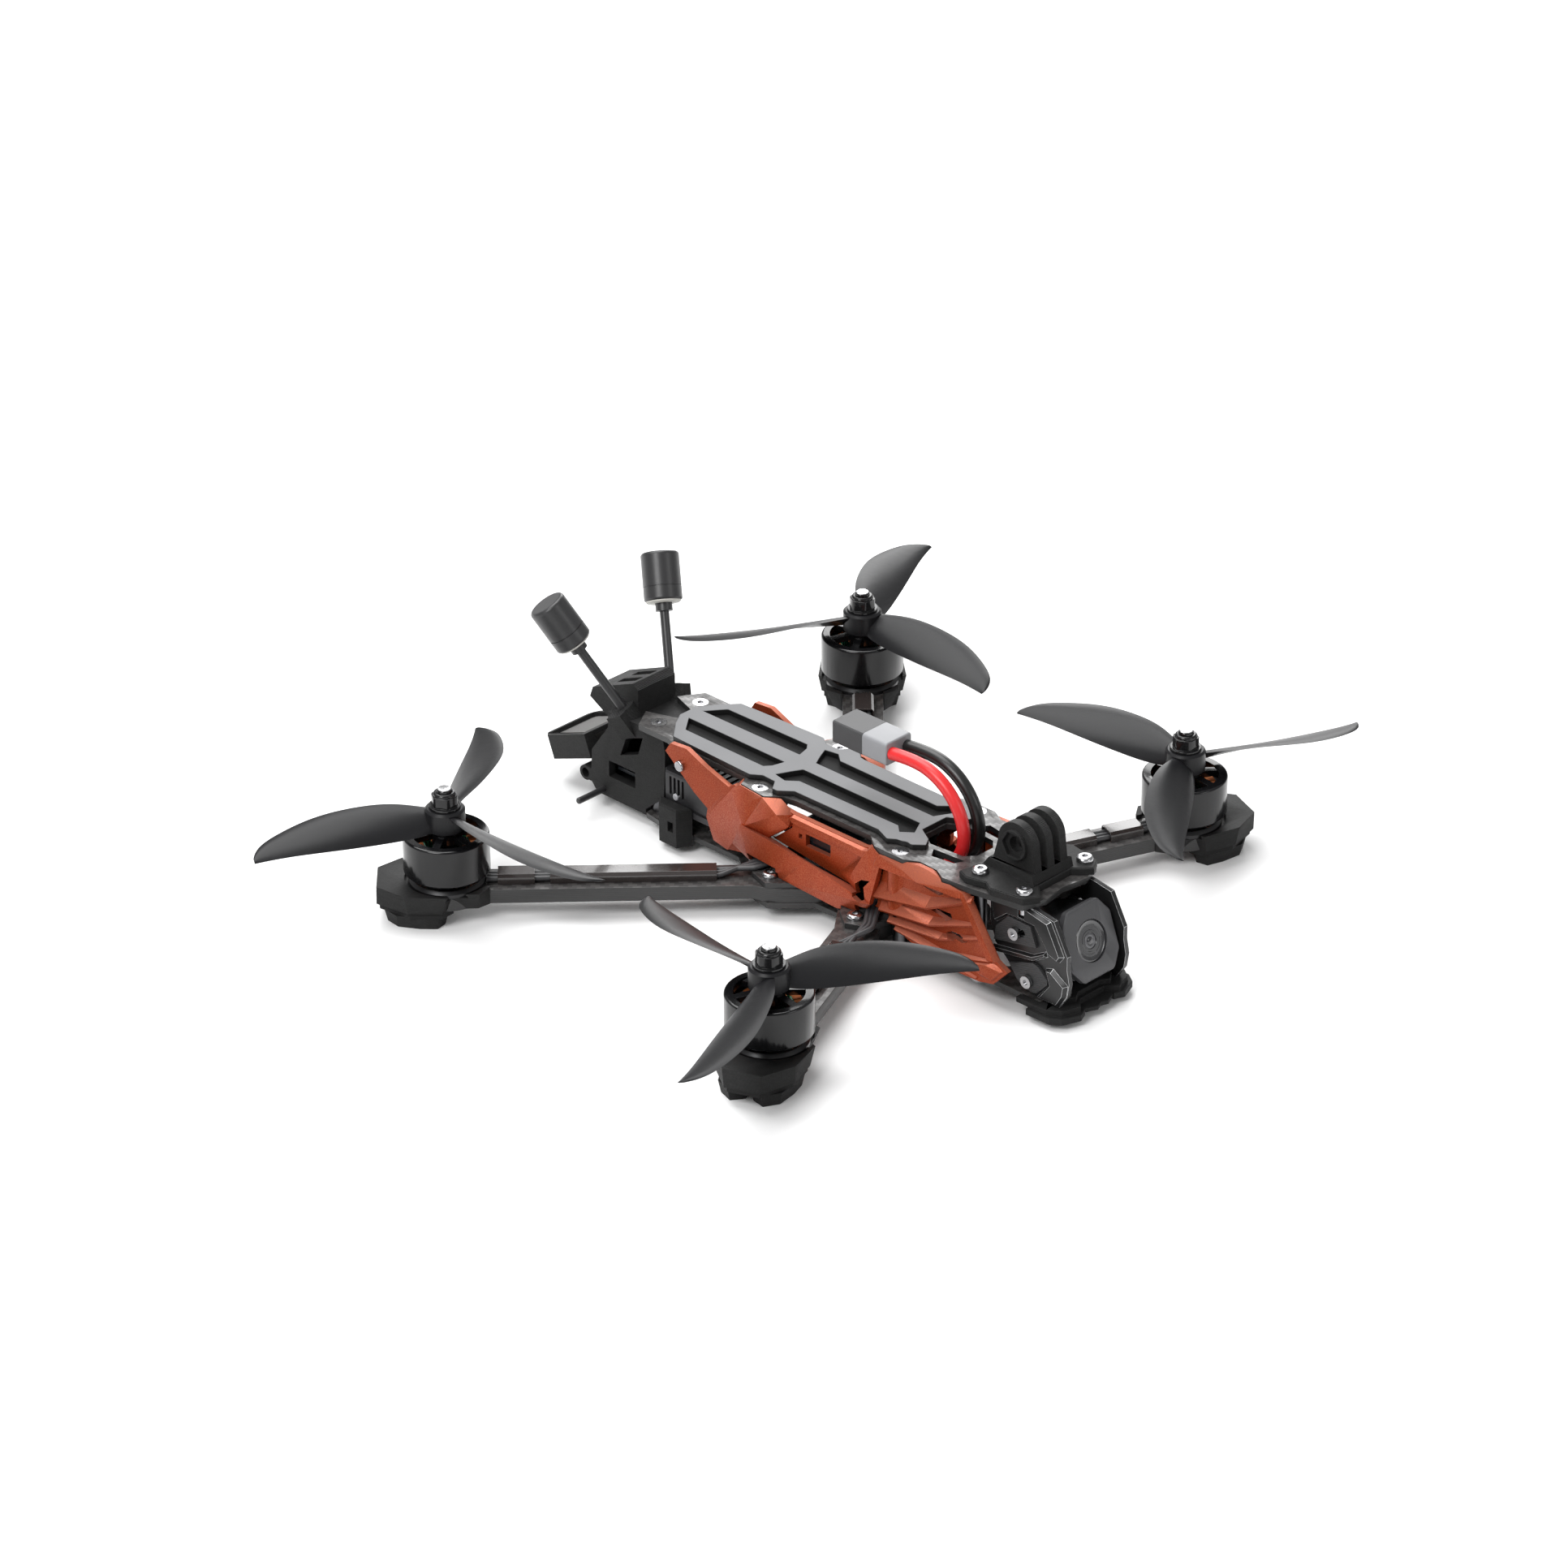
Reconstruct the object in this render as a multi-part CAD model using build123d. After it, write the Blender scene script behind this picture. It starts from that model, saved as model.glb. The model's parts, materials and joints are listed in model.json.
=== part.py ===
"""A five-inch freestyle quadcopter, as an assembly of its separate pieces.

Millimetres. +Z is up, the nose points to -Y, and +X is the aircraft's left side.
Outlines are drawn about the middle of the four motors, on the ground that the feet
stand on, and are moved by MIDDLE_Y when they are written, so that the origin lies
under the middle of the whole aircraft.
"""
from build123d import *
import math
import os

# ---------------------------------------------------------------- overall layout
MOTOR_X = 97.35          # motor axis from the centre line
MOTOR_Y = 73.1           # motor axis ahead of and behind the middle
MIDDLE_Y = -3.1          # middle of the whole length, from the middle of the motors

# ---------------------------------------------------------------- heights, bottom up
FOOT_H = 4.5             # rubber foot under the arm guard
BOTTOM_T = 2.0           # bottom plate
ARM_T = 5.0              # arm
CLAMP_T = 2.0            # plate that clamps the arms from above
BAY_H = 23.8             # from the clamp plate to the top plate
TOP_T = 2.0              # top plate
PAD_T = 2.0              # battery pad

Z_BOTTOM = FOOT_H
Z_ARM = Z_BOTTOM + BOTTOM_T
Z_CLAMP = Z_ARM + ARM_T
Z_BAY = Z_CLAMP + CLAMP_T
Z_TOP = Z_BAY + BAY_H
Z_DECK = Z_TOP + TOP_T
Z_PAD = Z_DECK + PAD_T

# ---------------------------------------------------------------- arms and their guards
ARM_W = 14.0
ARM_END_R = 12.0
REAR_AIM = (25.6, 3.1)       # the point that each arm's centre line runs to
FRONT_AIM = (26.6, -43.8)
REAR_BOLTS = [(25.6, -3.0), (9.0, -10.5)]
FRONT_BOLTS = [(26.2, -41.6), (9.0, -34.0)]
HUB_Y = -22.3                # where the front and rear arms meet
ARM_GAP = 0.15
GUARD_WALL_TOP = 1.6         # guard's rim above the arm
GUARD_SKIN = 2.0             # guard's floor under the arm

# ---------------------------------------------------------------- motors and propellers
BELL_R = 14.14
BELL_WALL = 1.55
BELL_H = 13.6
BELL_GAP = 4.3               # from the arm to the bell's lower edge
AIR_GAP = 0.35               # between the stator and the magnets
SHAFT_R = 2.0
SHAFT_CLEARANCE = 0.05
PROP_SHAFT_R = 2.5
SHAFT_TOP = 34.0             # shaft's end above the arm
MOTOR_SCREW_PCD = 16.0
PROP_R = 65.0
PROP_HUB_R = 6.6
PROP_HUB_H = 7.2
PROP_BASE = 20.0             # hub's lower face above the arm
NUT_AF = 8.0
REAR_BLADE_ANGLE = 30.0
FRONT_BLADE_ANGLE = 88.0     # on the right; the left one is its mirror image

# ---------------------------------------------------------------- screws
M3_R = 1.5
M2_R = 1.0
M3_HEAD_R = 2.75
M3_HEAD_H = 1.65
SCREW_CLEARANCE = 0.1
POST_R = 2.5

# ---------------------------------------------------------------- body
PLATE_POSTS = [(9.8, 63.9), (18.6, 8.1), (18.2, -53.8)]
MOUNT_POSTS = [(14.2, -84.4)]
MOUNT_SCREWS = [(14.2, -84.4), (14.2, -103.0)]
STACK_Y = -20.0              # middle of the electronics stack
STACK_PITCH = 30.5
BOARD = 36.0
BOARD_T = 1.6
ESC_Z = Z_BAY + 3.6
FC_Z = Z_BAY + 12.6
COVER_X = 18.8               # inner face of the side covers
COVER_T = 1.8
CAGE_IN = 12.5               # inner face of the camera cage
CAGE_T = 3.0
CAGE_ARMOUR_T = 1.3
BUMPER_H = 14.0            # rear bumper blocks

# ---------------------------------------------------------------- camera
CAMERA_LEAN = 20.0           # degrees back from upright
CAMERA_PIVOT = (-106.3, 11.7)    # lower screws, along Y and Z
CAMERA_SCREW_PITCH = 16.2
CAMERA_W = 24.4
BEZEL_W = 22.5
BEZEL_H = 24.0
TILT_UP = 6.0
TILT_DOWN = 8.0

# ---------------------------------------------------------------- tail
AERIAL_FOOT = (11.0, 79.2, 39.2)     # where each antenna's stem leaves its clamp
AERIAL_DIR = Vector(0.3373, 0.4414, 0.8316)
AERIAL_STEM = 27.0
AERIAL_STEM_R = 1.6
AERIAL_CAP_R = 6.5
AERIAL_CAP_H = 16.5
TRAY_TILT = 20.8
TRAY_W = 24.6
TRAY_L = 22.3
TRAY_H = 8.65

# ---------------------------------------------------------------- battery lead
LEAD_R = 2.15
LEAD_X = 3.5
CONNECTOR_W = 12.0
CONNECTOR_H = 8.2
CONNECTOR_Z = 58.0           # underside of the connector
CONNECTOR_REAR_Y = -12.0
CONNECTOR_L = 13.2
CONNECTOR_COVER_L = 10.6


# ================================================================ helpers
def mirrored(half):
    """A closed outline from its left half, listed from rear to front."""
    return half + [(-x, y) for x, y in reversed(half) if abs(x) > 1e-6]


def sheet(points, z, thickness):
    """A flat plate that lies level."""
    return extrude(Pos(0, 0, z) * Polygon(*points, align=None), thickness, dir=(0, 0, 1))


def side_sheet(points, x, thickness):
    """A flat plate that stands across X, from an outline in Y and Z."""
    return extrude(Plane.YZ.offset(x) * Polygon(*points, align=None), thickness, dir=(1, 0, 0))


def frustum(base, x_base, top, x_top):
    """A raised block between two outlines in Y and Z, one on each plane across X."""
    faces = [Plane.YZ.offset(x) * Polygon(*pts, align=None) for pts, x in ((base, x_base), (top, x_top))]
    return loft(faces, ruled=True)


def post(x, y, z, radius, height):
    """An upright round bar that stands on z."""
    return Pos(x, y, z + height / 2) * Cylinder(radius, height)


def bar_x(y, z, x_from, x_to, radius):
    """A round bar along X."""
    return Pos((x_from + x_to) / 2, y, z) * Rot(0, 90, 0) * Cylinder(radius, abs(x_to - x_from))


def brick(x0, x1, y0, y1, z0, z1):
    """A box from its limits."""
    return Pos((x0 + x1) / 2, (y0 + y1) / 2, (z0 + z1) / 2) * Box(x1 - x0, y1 - y0, z1 - z0)


def both_sides(places):
    """Each place and its mirror image across the centre line."""
    return [(s * x, y) for x, y in places for s in (1, -1)]


def flip(shape):
    return mirror(shape, about=Plane.YZ)


def save(name, *shapes):
    """Write one node, moved so that the origin is under the aircraft's middle."""
    solids = [s for shape in shapes for s in shape.solids()]
    body = Compound(children=[Pos(0, -MIDDLE_Y, 0) * s for s in solids])
    export_step(body, "parts/" + name + ".step")


# ================================================================ screws
def button_screw(x, y, z, length, radius=M3_R, head_r=M3_HEAD_R, head_h=M3_HEAD_H):
    """A round-headed screw whose head sits on z."""
    socket = Pos(x, y, z + head_h) * extrude(RegularPolygon(radius * 0.75, 6), -head_h * 0.6)
    head = post(x, y, z, head_r, head_h)
    head = fillet(head.edges().group_by(Axis.Z)[-1], head_h * 0.6)
    return head - socket + post(x, y, z - length, radius, length)


def flat_screw(x, y, z, length, radius=M3_R, head_r=M3_HEAD_R, head_h=1.5):
    """A countersunk screw that ends flush with z."""
    head = Pos(x, y, z - head_h / 2) * Cone(radius, head_r, head_h)
    socket = Pos(x, y, z) * extrude(RegularPolygon(radius * 0.75, 6), -head_h * 0.6)
    return head - socket + post(x, y, z - length, radius, length - head_h)


def flat_hole(x, y, z, thickness, radius=M3_R, head_r=M3_HEAD_R, head_h=1.5):
    """The hole that a countersunk screw seats in."""
    cone = Pos(x, y, z - head_h / 2) * Cone(radius + SCREW_CLEARANCE, head_r + SCREW_CLEARANCE, head_h)
    return cone + post(x, y, z - thickness - 1, radius + SCREW_CLEARANCE, thickness + 1)


# ================================================================ plates
def bottom_plate():
    half = [(0, 67), (8, 67), (14.6, 65.5), (15.7, 58), (19, 52.5), (19, 46.5), (15, 43), (15, 22), (29, 2.5),
            (30.4, -6), (19.6, -17.3), (19.2, -27.5), (30.2, -38), (31.4, -45), (17.2, -59), (16, -70),
            (17.2, -80), (17.2, -88), (15.4, -92), (15.9, -112), (0, -112)]
    plate = sheet(mirrored(half), Z_BOTTOM, BOTTOM_T)
    window = [(0, 44), (8, 44), (10.5, 40), (10.5, 22), (6, 14), (0, 14)]
    plate -= sheet(mirrored(window), Z_BOTTOM - 1, BOTTOM_T + 2)
    nose = [(0, -64), (7, -64), (10, -69), (10, -84), (6, -90), (0, -90)]
    plate -= sheet(mirrored(nose), Z_BOTTOM - 1, BOTTOM_T + 2)
    for x, y in both_sides(PLATE_POSTS[:1] + PLATE_POSTS[2:] + MOUNT_POSTS + REAR_BOLTS + FRONT_BOLTS):
        plate -= post(x, y, Z_BOTTOM - 1, M3_R + SCREW_CLEARANCE, BOTTOM_T + 2)
    return plate - stack_holes(Z_BOTTOM - 1, BOTTOM_T + 2)


def stack_holes(z, height):
    """The four screw holes of the electronics stack."""
    places = [(sx * STACK_PITCH / 2, STACK_Y + sy * STACK_PITCH / 2) for sx in (1, -1) for sy in (1, -1)]
    holes = [post(x, y, z, M3_R + SCREW_CLEARANCE, height) for x, y in places]
    return Compound(children=holes)


def clamp_outline():
    half = [(0, 4), (14, 4), (15.2, 11), (21.4, 11), (23.8, 5.2), (27.7, 3.3), (30.2, -5.2), (25.6, -10.1),
            (21, -14.5), (21, -31), (26.4, -35), (31, -41.5), (28.5, -47.5), (20, -50), (0, -50)]
    return mirrored(half)


def clamp_plate():
    plate = sheet(clamp_outline(), Z_CLAMP, CLAMP_T)
    window = [(0, -16.5), (5.5, -16.5), (5.5, -28), (0, -28)]
    plate -= sheet(mirrored(window), Z_CLAMP - 1, CLAMP_T + 2)
    for x, y in both_sides(REAR_BOLTS + FRONT_BOLTS + PLATE_POSTS[1:2]):
        plate -= post(x, y, Z_CLAMP - 1, M3_R + SCREW_CLEARANCE, CLAMP_T + 2)
    return plate - stack_holes(Z_CLAMP - 1, CLAMP_T + 2)


def top_outline():
    half = [(0, 60.5), (3, 60.5), (4, 63), (7.3, 72.4), (15.6, 67.4), (15.6, 54), (16.8, 50), (17.2, 16),
            (21.4, 14), (22.4, 3), (18.4, -1.6), (17.4, -7), (17.4, -40), (21.6, -45.5), (21.6, -58),
            (19, -63), (19.3, -70.5), (21.6, -75), (20.6, -86), (17.4, -105.2), (9.4, -108), (0, -106.5)]
    return mirrored(half)


def top_plate():
    plate = sheet(top_outline(), Z_TOP, TOP_T)
    exit_hole = [(0, -52.2), (5, -52.2), (8.2, -57.5), (7, -70.5), (3.6, -73.5), (0, -73.5)]
    slot = [(10, -60.5), (13.8, -63), (12.4, -71.5), (9, -73)]
    for outline in (mirrored(exit_hole), slot, [(-x, y) for x, y in slot]):
        plate -= sheet(outline, Z_TOP - 1, TOP_T + 2)
    for x, y in both_sides(PLATE_POSTS):
        plate -= flat_hole(x, y, Z_DECK, TOP_T)
    for x, y in both_sides(MOUNT_SCREWS):
        plate -= post(x, y, Z_TOP - 1, M3_R + SCREW_CLEARANCE, TOP_T + 2)
    return plate


def battery_pad():
    half = [(0, 60), (3.8, 60), (9.5, 56.4), (16, 50.8), (17.4, 14.3), (14.9, 10.6), (15.2, 5), (19.2, 2.2),
            (19.2, 0), (15.6, -4.4), (15.4, -41.3), (17.8, -47.3), (16, -50), (15.2, -56), (12.3, -59.4),
            (8.9, -57.4), (5.6, -51.6), (0, -51.6)]
    pad = sheet(mirrored(half), Z_DECK, PAD_T)
    rear_slot = [(3.4, 56), (9.8, 51), (10.2, 15), (8, 13.2), (3.6, 12)]
    front_slot = [(3.1, 3.8), (7.2, 6), (11.5, 8), (12.4, 3), (9.4, -0.7), (8.9, -44.2), (11.7, -47.3),
                  (8.8, -51), (3.2, -48)]
    for slot in (rear_slot, front_slot):
        pad -= sheet(slot, Z_DECK - 1, PAD_T + 2)
        pad -= sheet([(-x, y) for x, y in slot], Z_DECK - 1, PAD_T + 2)
    for x, y in both_sides(PLATE_POSTS):
        pad -= post(x, y, Z_DECK - 1, M3_HEAD_R + 0.4, PAD_T + 2)
    return pad


# ================================================================ arms
def corners():
    """Name, side, fore or aft, and spin of each motor. Spin is +1 anticlockwise from above."""
    return [("front_left", 1, -1, -1), ("front_right", -1, -1, 1),
            ("rear_left", 1, 1, 1), ("rear_right", -1, 1, -1)]


def arm_outward(fore_aft):
    """The direction in degrees that a left arm points, from the body to its motor."""
    aim = REAR_AIM if fore_aft > 0 else FRONT_AIM
    return math.degrees(math.atan2(fore_aft * MOTOR_Y - aim[1], MOTOR_X - aim[0]))


def arm_length(fore_aft):
    aim = REAR_AIM if fore_aft > 0 else FRONT_AIM
    return math.hypot(fore_aft * MOTOR_Y - aim[1], MOTOR_X - aim[0])


def at_motor(shape, fore_aft):
    """Put a piece drawn about a motor axis, outward along +X, on a left motor."""
    return Pos(MOTOR_X, fore_aft * MOTOR_Y, 0) * Rot(0, 0, arm_outward(fore_aft)) * shape


def arm_outline(fore_aft, grow=0.0):
    """The straight part and the round end, drawn about the motor axis."""
    length = arm_length(fore_aft)
    bar = Pos(-length / 2, 0) * Rectangle(length, ARM_W + 2 * grow)
    return bar + Circle(ARM_END_R + grow)


def arm_root(fore_aft):
    """The left arm's inner end, which meets the other arms under the clamp plate."""
    inner = HUB_Y + fore_aft * ARM_GAP
    if fore_aft > 0:
        return [(ARM_GAP, inner), (15, inner), (21, -15.5), (27.6, -8.6), (30, -5), (34, 6), (22, 8),
                (12, 3.2), (ARM_GAP, 3.2)]
    return [(ARM_GAP, inner), (16, inner), (21, -29.5), (27.5, -34.4), (34.5, -40), (31.5, -47),
            (20, -49.4), (ARM_GAP, -49.4)]


def arm(fore_aft):
    blade = at_motor(extrude(Pos(0, 0, Z_ARM) * arm_outline(fore_aft), ARM_T), fore_aft)
    solid = blade + sheet(arm_root(fore_aft), Z_ARM, ARM_T)
    solid = solid & brick(ARM_GAP, 2 * MOTOR_X, -2 * MOTOR_Y, 2 * MOTOR_Y, Z_ARM, Z_CLAMP)
    for x, y in (REAR_BOLTS if fore_aft > 0 else FRONT_BOLTS):
        solid -= post(x, y, Z_ARM - 1, M3_R + SCREW_CLEARANCE, ARM_T + 2)
    solid -= stack_holes(Z_ARM - 1, ARM_T + 2)
    return solid - at_motor(motor_holes(Z_ARM - 1, ARM_T + 2), fore_aft)


def motor_screw_places():
    radius = MOTOR_SCREW_PCD / 2
    turns = [math.radians(45 + 90 * i) for i in range(4)]
    return [(radius * math.cos(a), radius * math.sin(a)) for a in turns]


def motor_holes(z, height, radius=M3_R + SCREW_CLEARANCE, middle=3.2):
    holes = [post(x, y, z, radius, height) for x, y in motor_screw_places()]
    return Compound(children=holes + [post(0, 0, z, middle, height)])


def arm_guard(fore_aft):
    """The printed bumper that wraps an arm's end, with its two feet."""
    low = [(23, 6), (12.5, 13.4), (1.5, 14), (-1, 10.4), (-10, 10.1), (-13.8, 7.2)]
    high = [(22.8, 6.6), (13.5, 14), (0, 15.2), (-1.6, 12.6), (-10.6, 12.6), (-13.8, 7.7)]
    rim = Z_CLAMP + GUARD_WALL_TOP
    faces = [Pos(0, 0, z) * Polygon(*(pts + [(x, -y) for x, y in reversed(pts)]), align=None)
             for pts, z in ((low, Z_ARM), (high, rim))]
    guard = loft(faces, ruled=True)
    skin = [(22, 5.4), (12, 12.6), (1.5, 13.2), (-2, 9.6)]
    guard += sheet(skin + [(x, -y) for x, y in reversed(skin)], Z_ARM - GUARD_SKIN, GUARD_SKIN)
    guard -= extrude(Pos(0, 0, Z_ARM) * arm_outline(fore_aft), ARM_T + GUARD_WALL_TOP + 1)
    guard -= post(0, 0, Z_CLAMP, BELL_R - 0.2, GUARD_WALL_TOP + 1)
    sole = [(19.5, 5.5), (16, 9.8), (9, 11.6), (3.2, 11.9), (0.8, 8.4), (9.5, 4), (13.6, 1.3), (17, 1.3)]
    root = [(20.6, 5.7), (16.5, 10.6), (9, 12.6), (2.8, 12.9), (-0.4, 8.4), (8.8, 3.2), (13, 0.9), (17.6, 0.9)]
    for side in (1, -1):
        pair = [Pos(0, 0, z) * Polygon(*[(x, side * y) for x, y in pts], align=None)
                for pts, z in ((sole, 0), (root, Z_ARM - GUARD_SKIN))]
        guard += loft(pair, ruled=True)
    guard -= motor_holes(-1, Z_ARM + 1, M3_HEAD_R + 0.3, 3.6)
    return at_motor(guard, fore_aft)


# ================================================================ motors
def motor_base():
    """The fixed half of a motor: the foot, its spokes and the bearing tube."""
    foot = post(0, 0, Z_CLAMP, 12.6, 2.2)
    foot = chamfer(foot.edges().group_by(Axis.Z)[-1], 1.0)
    slots = [Rot(0, 0, 90 * i) * Pos(9.6, 0, Z_CLAMP + 1.6) * Box(3.2, 5.0, 5) for i in range(4)]
    foot -= Compound(children=slots)
    tube = post(0, 0, Z_CLAMP, 4.4, BELL_GAP + 10.6)
    collar = post(0, 0, Z_CLAMP, 6.6, 4.4)
    base = foot + tube + collar
    base -= post(0, 0, Z_CLAMP - 1, SHAFT_R + SHAFT_CLEARANCE, BELL_H + BELL_GAP + 4)
    for x, y in motor_screw_places():
        base -= post(x, y, Z_CLAMP - 1, M3_R, 5)
    return base


def stator():
    """Twelve wound teeth on a ring, pressed on the bearing tube."""
    outer = BELL_R - BELL_WALL - AIR_GAP
    z = Z_CLAMP + BELL_GAP + 1.9
    height = 7.4
    ring = post(0, 0, z, 7.0, height) - post(0, 0, z - 1, 4.4, height + 2)
    pieces = []
    for i in range(12):
        coil = Pos(8.9, 0, z + height / 2) * Box(4.6, 2.9, height + 1.6)
        shoe = post(0, 0, z + 0.6, outer, height - 1.2) - post(0, 0, z, outer - 1.1, height + 2)
        wedge = Pos(outer - 0.5, 0, z + height / 2) * Box(3.2, 5.0, height + 2)
        pieces.append(Rot(0, 0, 30 * i) * (coil + (shoe & wedge)))
    return ring.fuse(*pieces)


def motor_bell():
    """The turning can with its spoked top, its hub and the shaft."""
    z0 = Z_CLAMP + BELL_GAP
    z1 = z0 + BELL_H
    shaft_end = Z_CLAMP + SHAFT_TOP
    seat = Z_CLAMP + PROP_BASE
    can = post(0, 0, z0, BELL_R, BELL_H)
    can = chamfer(can.edges().group_by(Axis.Z)[0], 0.7)
    can = fillet(can.edges().group_by(Axis.Z)[-1], 0.8)
    can -= post(0, 0, z0 - 1, BELL_R - BELL_WALL, BELL_H - 1.2)
    can -= post(0, 0, z1 - 3, 11.2, 4)
    spokes = []
    for i in range(6):
        spokes.append(Rot(0, 0, 60 * i) * Pos(8.2, 0, z1 - 0.9) * Rot(0, 8, 0) * Box(8.4, 2.6, 2.0))
    hub = post(0, 0, z1 - 2.4, 5.4, seat - z1 + 2.4)
    hub = chamfer(hub.edges().group_by(Axis.Z)[-1], 0.4)
    bell = can.fuse(*spokes) + hub
    bell += post(0, 0, Z_CLAMP + 1.0, SHAFT_R, z1 - Z_CLAMP)
    tip = post(0, 0, seat - 1, PROP_SHAFT_R, shaft_end - seat + 1)
    return bell + chamfer(tip.edges().group_by(Axis.Z)[-1], 0.5)


# ================================================================ propellers
BLADE = [  # radius, leading edge, trailing edge, pitch in degrees, thickness
    (4.5, 4.2, -4.4, 40, 2.4),
    (11, 6.2, -6.0, 35, 1.9),
    (22, 8.4, -7.0, 29, 1.5),
    (35, 8.4, -7.6, 23, 1.2),
    (47, 5.9, -8.0, 18, 1.0),
    (56, 1.9, -8.6, 15, 0.85),
    (62, -2.8, -9.4, 13, 0.75),
    (PROP_R - 0.7, -7.4, -9.8, 12, 0.6),
]


def blade_section(radius, lead, trail, pitch, thickness):
    """A thin cambered section across the blade. Leading side is +Y before the pitch."""
    chord = lead - trail
    camber = 0.045 * chord
    top = [(trail + chord * f, camber * g + thickness * h)
           for f, g, h in ((0.25, 0.75, 0.42), (0.5, 1, 0.5), (0.75, 0.8, 0.45))]
    under = [(trail + chord * f, camber * g - thickness * h)
             for f, g, h in ((0.75, 0.8, 0.4), (0.5, 1, 0.45), (0.25, 0.75, 0.4))]
    curve = Spline([(trail, 0)] + top + [(lead, 0)])
    back = Spline([(lead, 0)] + under + [(trail, 0)])
    plane = Plane(origin=(radius, 0, 0), x_dir=(0, 1, 0), z_dir=(1, 0, 0))
    face = make_face(Curve() + [curve, back])
    return plane * Rot(0, 0, pitch) * face


def propeller(spin):
    """A three-bladed propeller about the Z axis, for a motor with this spin."""
    z = Z_CLAMP + PROP_BASE
    hub = post(0, 0, z, PROP_HUB_R, PROP_HUB_H)
    hub = chamfer(hub.edges().group_by(Axis.Z)[-1], 0.7)
    blade = loft([blade_section(*row) for row in BLADE])
    blade = Pos(0, 0, z + PROP_HUB_H * 0.45) * blade
    body = hub.fuse(*[Rot(0, 0, 120 * i) * blade for i in range(3)])
    body -= post(0, 0, z - 1, PROP_SHAFT_R, PROP_HUB_H + 2)
    body -= post(0, 0, z - 1, 3.9, 2.2)
    return body if spin > 0 else mirror(body, about=Plane.XZ)


def prop_nut():
    """A flanged lock nut on the shaft's threaded end."""
    z = Z_CLAMP + PROP_BASE + PROP_HUB_H
    flange = post(0, 0, z, 5.2, 0.9)
    hexagon = extrude(Pos(0, 0, z + 0.9) * RegularPolygon(NUT_AF / 2, 6, major_radius=False), 3.6)
    hexagon &= Pos(0, 0, z + 0.9 + 1.8) * Cylinder(NUT_AF / 2 + 0.35, 3.6)
    collar = post(0, 0, z + 4.5, 3.7, 1.1)
    collar = chamfer(collar.edges().group_by(Axis.Z)[-1], 0.5)
    return flange + hexagon + collar - post(0, 0, z - 1, PROP_SHAFT_R, 10)


def motor_leads(fore_aft):
    """Three wires from a left motor along its arm and into the body."""
    length = arm_length(fore_aft)
    radius = 0.9
    z = Z_CLAMP + 1.15
    over = Z_BAY + radius + 0.25
    wires = []
    for i in (-1, 0, 1):
        lateral = 1.9 * i
        straight = length - (12 if fore_aft > 0 else 16)
        start = Pos(MOTOR_X, fore_aft * MOTOR_Y, 0) * Rot(0, 0, arm_outward(fore_aft))
        points = [(-12.8, lateral, z), (-straight, lateral, z)]
        points = [(start * Pos(*p)).position for p in points]
        if fore_aft > 0:
            points += [Vector(25.4 + 0.9 * i, 4.4 - 1.6 * i, over), Vector(17.0, 0.4 - 2.0 * i, ESC_Z - 1.0)]
        else:
            points += [Vector(28.4 + 0.3 * i, -49.9 - 1.8 * i, over), Vector(17.0, -41.6 - 2.0 * i, ESC_Z - 1.0)]
        path = FilletPolyline(*points, radius=4.0)
        section = Plane(origin=path @ 0, z_dir=path % 0) * Circle(radius)
        wires.append(sweep(section, path=path))
    return wires


def lead_sleeves(fore_aft):
    """The shrink boot at the motor and the long cover on the arm."""
    length = arm_length(fore_aft)
    cover_end = length - (13 if fore_aft > 0 else 17)
    sleeves = []
    for x0, x1, width, height, wall in ((-16.4, -28.3, 7.4, 3.4, 0.6), (-33.3, -cover_end, 7.0, 3.3, 0.5)):
        body = brick(x1, x0, -width / 2, width / 2, Z_CLAMP, Z_CLAMP + height)
        body = chamfer(body.edges().filter_by(Axis.X).group_by(Axis.Z)[-1], 0.9)
        body -= brick(x1 - 1, x0 + 1, -width / 2 + wall, width / 2 - wall, Z_CLAMP + 0.1, Z_CLAMP + height - wall)
        sleeves.append(at_motor(body, fore_aft))
    return sleeves


# ================================================================ electronics
def board(z, chips):
    """A square circuit board with rounded corners, holes and chips."""
    plate = extrude(Pos(0, STACK_Y, z) * RectangleRounded(BOARD, BOARD, 3), BOARD_T)
    places = [(sx * STACK_PITCH / 2, STACK_Y + sy * STACK_PITCH / 2) for sx in (1, -1) for sy in (1, -1)]
    for x, y in places:
        plate -= post(x, y, z - 1, 2.0, BOARD_T + 2)
    for x, y, w, l, h in chips:
        z0 = z + BOARD_T if h > 0 else z + h
        plate += brick(x - w / 2, x + w / 2, STACK_Y + y - l / 2, STACK_Y + y + l / 2, z0, z0 + abs(h))
    return plate


def speed_controller():
    fets = [(sx * 7 * a, sy * 8.5, 5.4, 6.2, 1.1) for sx in (1, -1) for sy in (1, -1) for a in (0.55, 1.5)]
    return board(ESC_Z, fets + [(0, -16.4, 9, 3, 1.8), (0, 0, 6, 6, 0.9)])


def flight_controller():
    chips = [(0, 0, 8, 8, 1.0), (-9, 3, 5, 4, 0.9), (8, -6, 4, 5, 1.0), (6, 9, 7, 4, 2.6), (-5, 12, 9, 3.4, 3.0)]
    usb = [(-15.0, 0, 7.2, 9.0, 3.2), (9, 12, 3, 3, 1.5)]
    return board(FC_Z, chips + usb)


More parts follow.
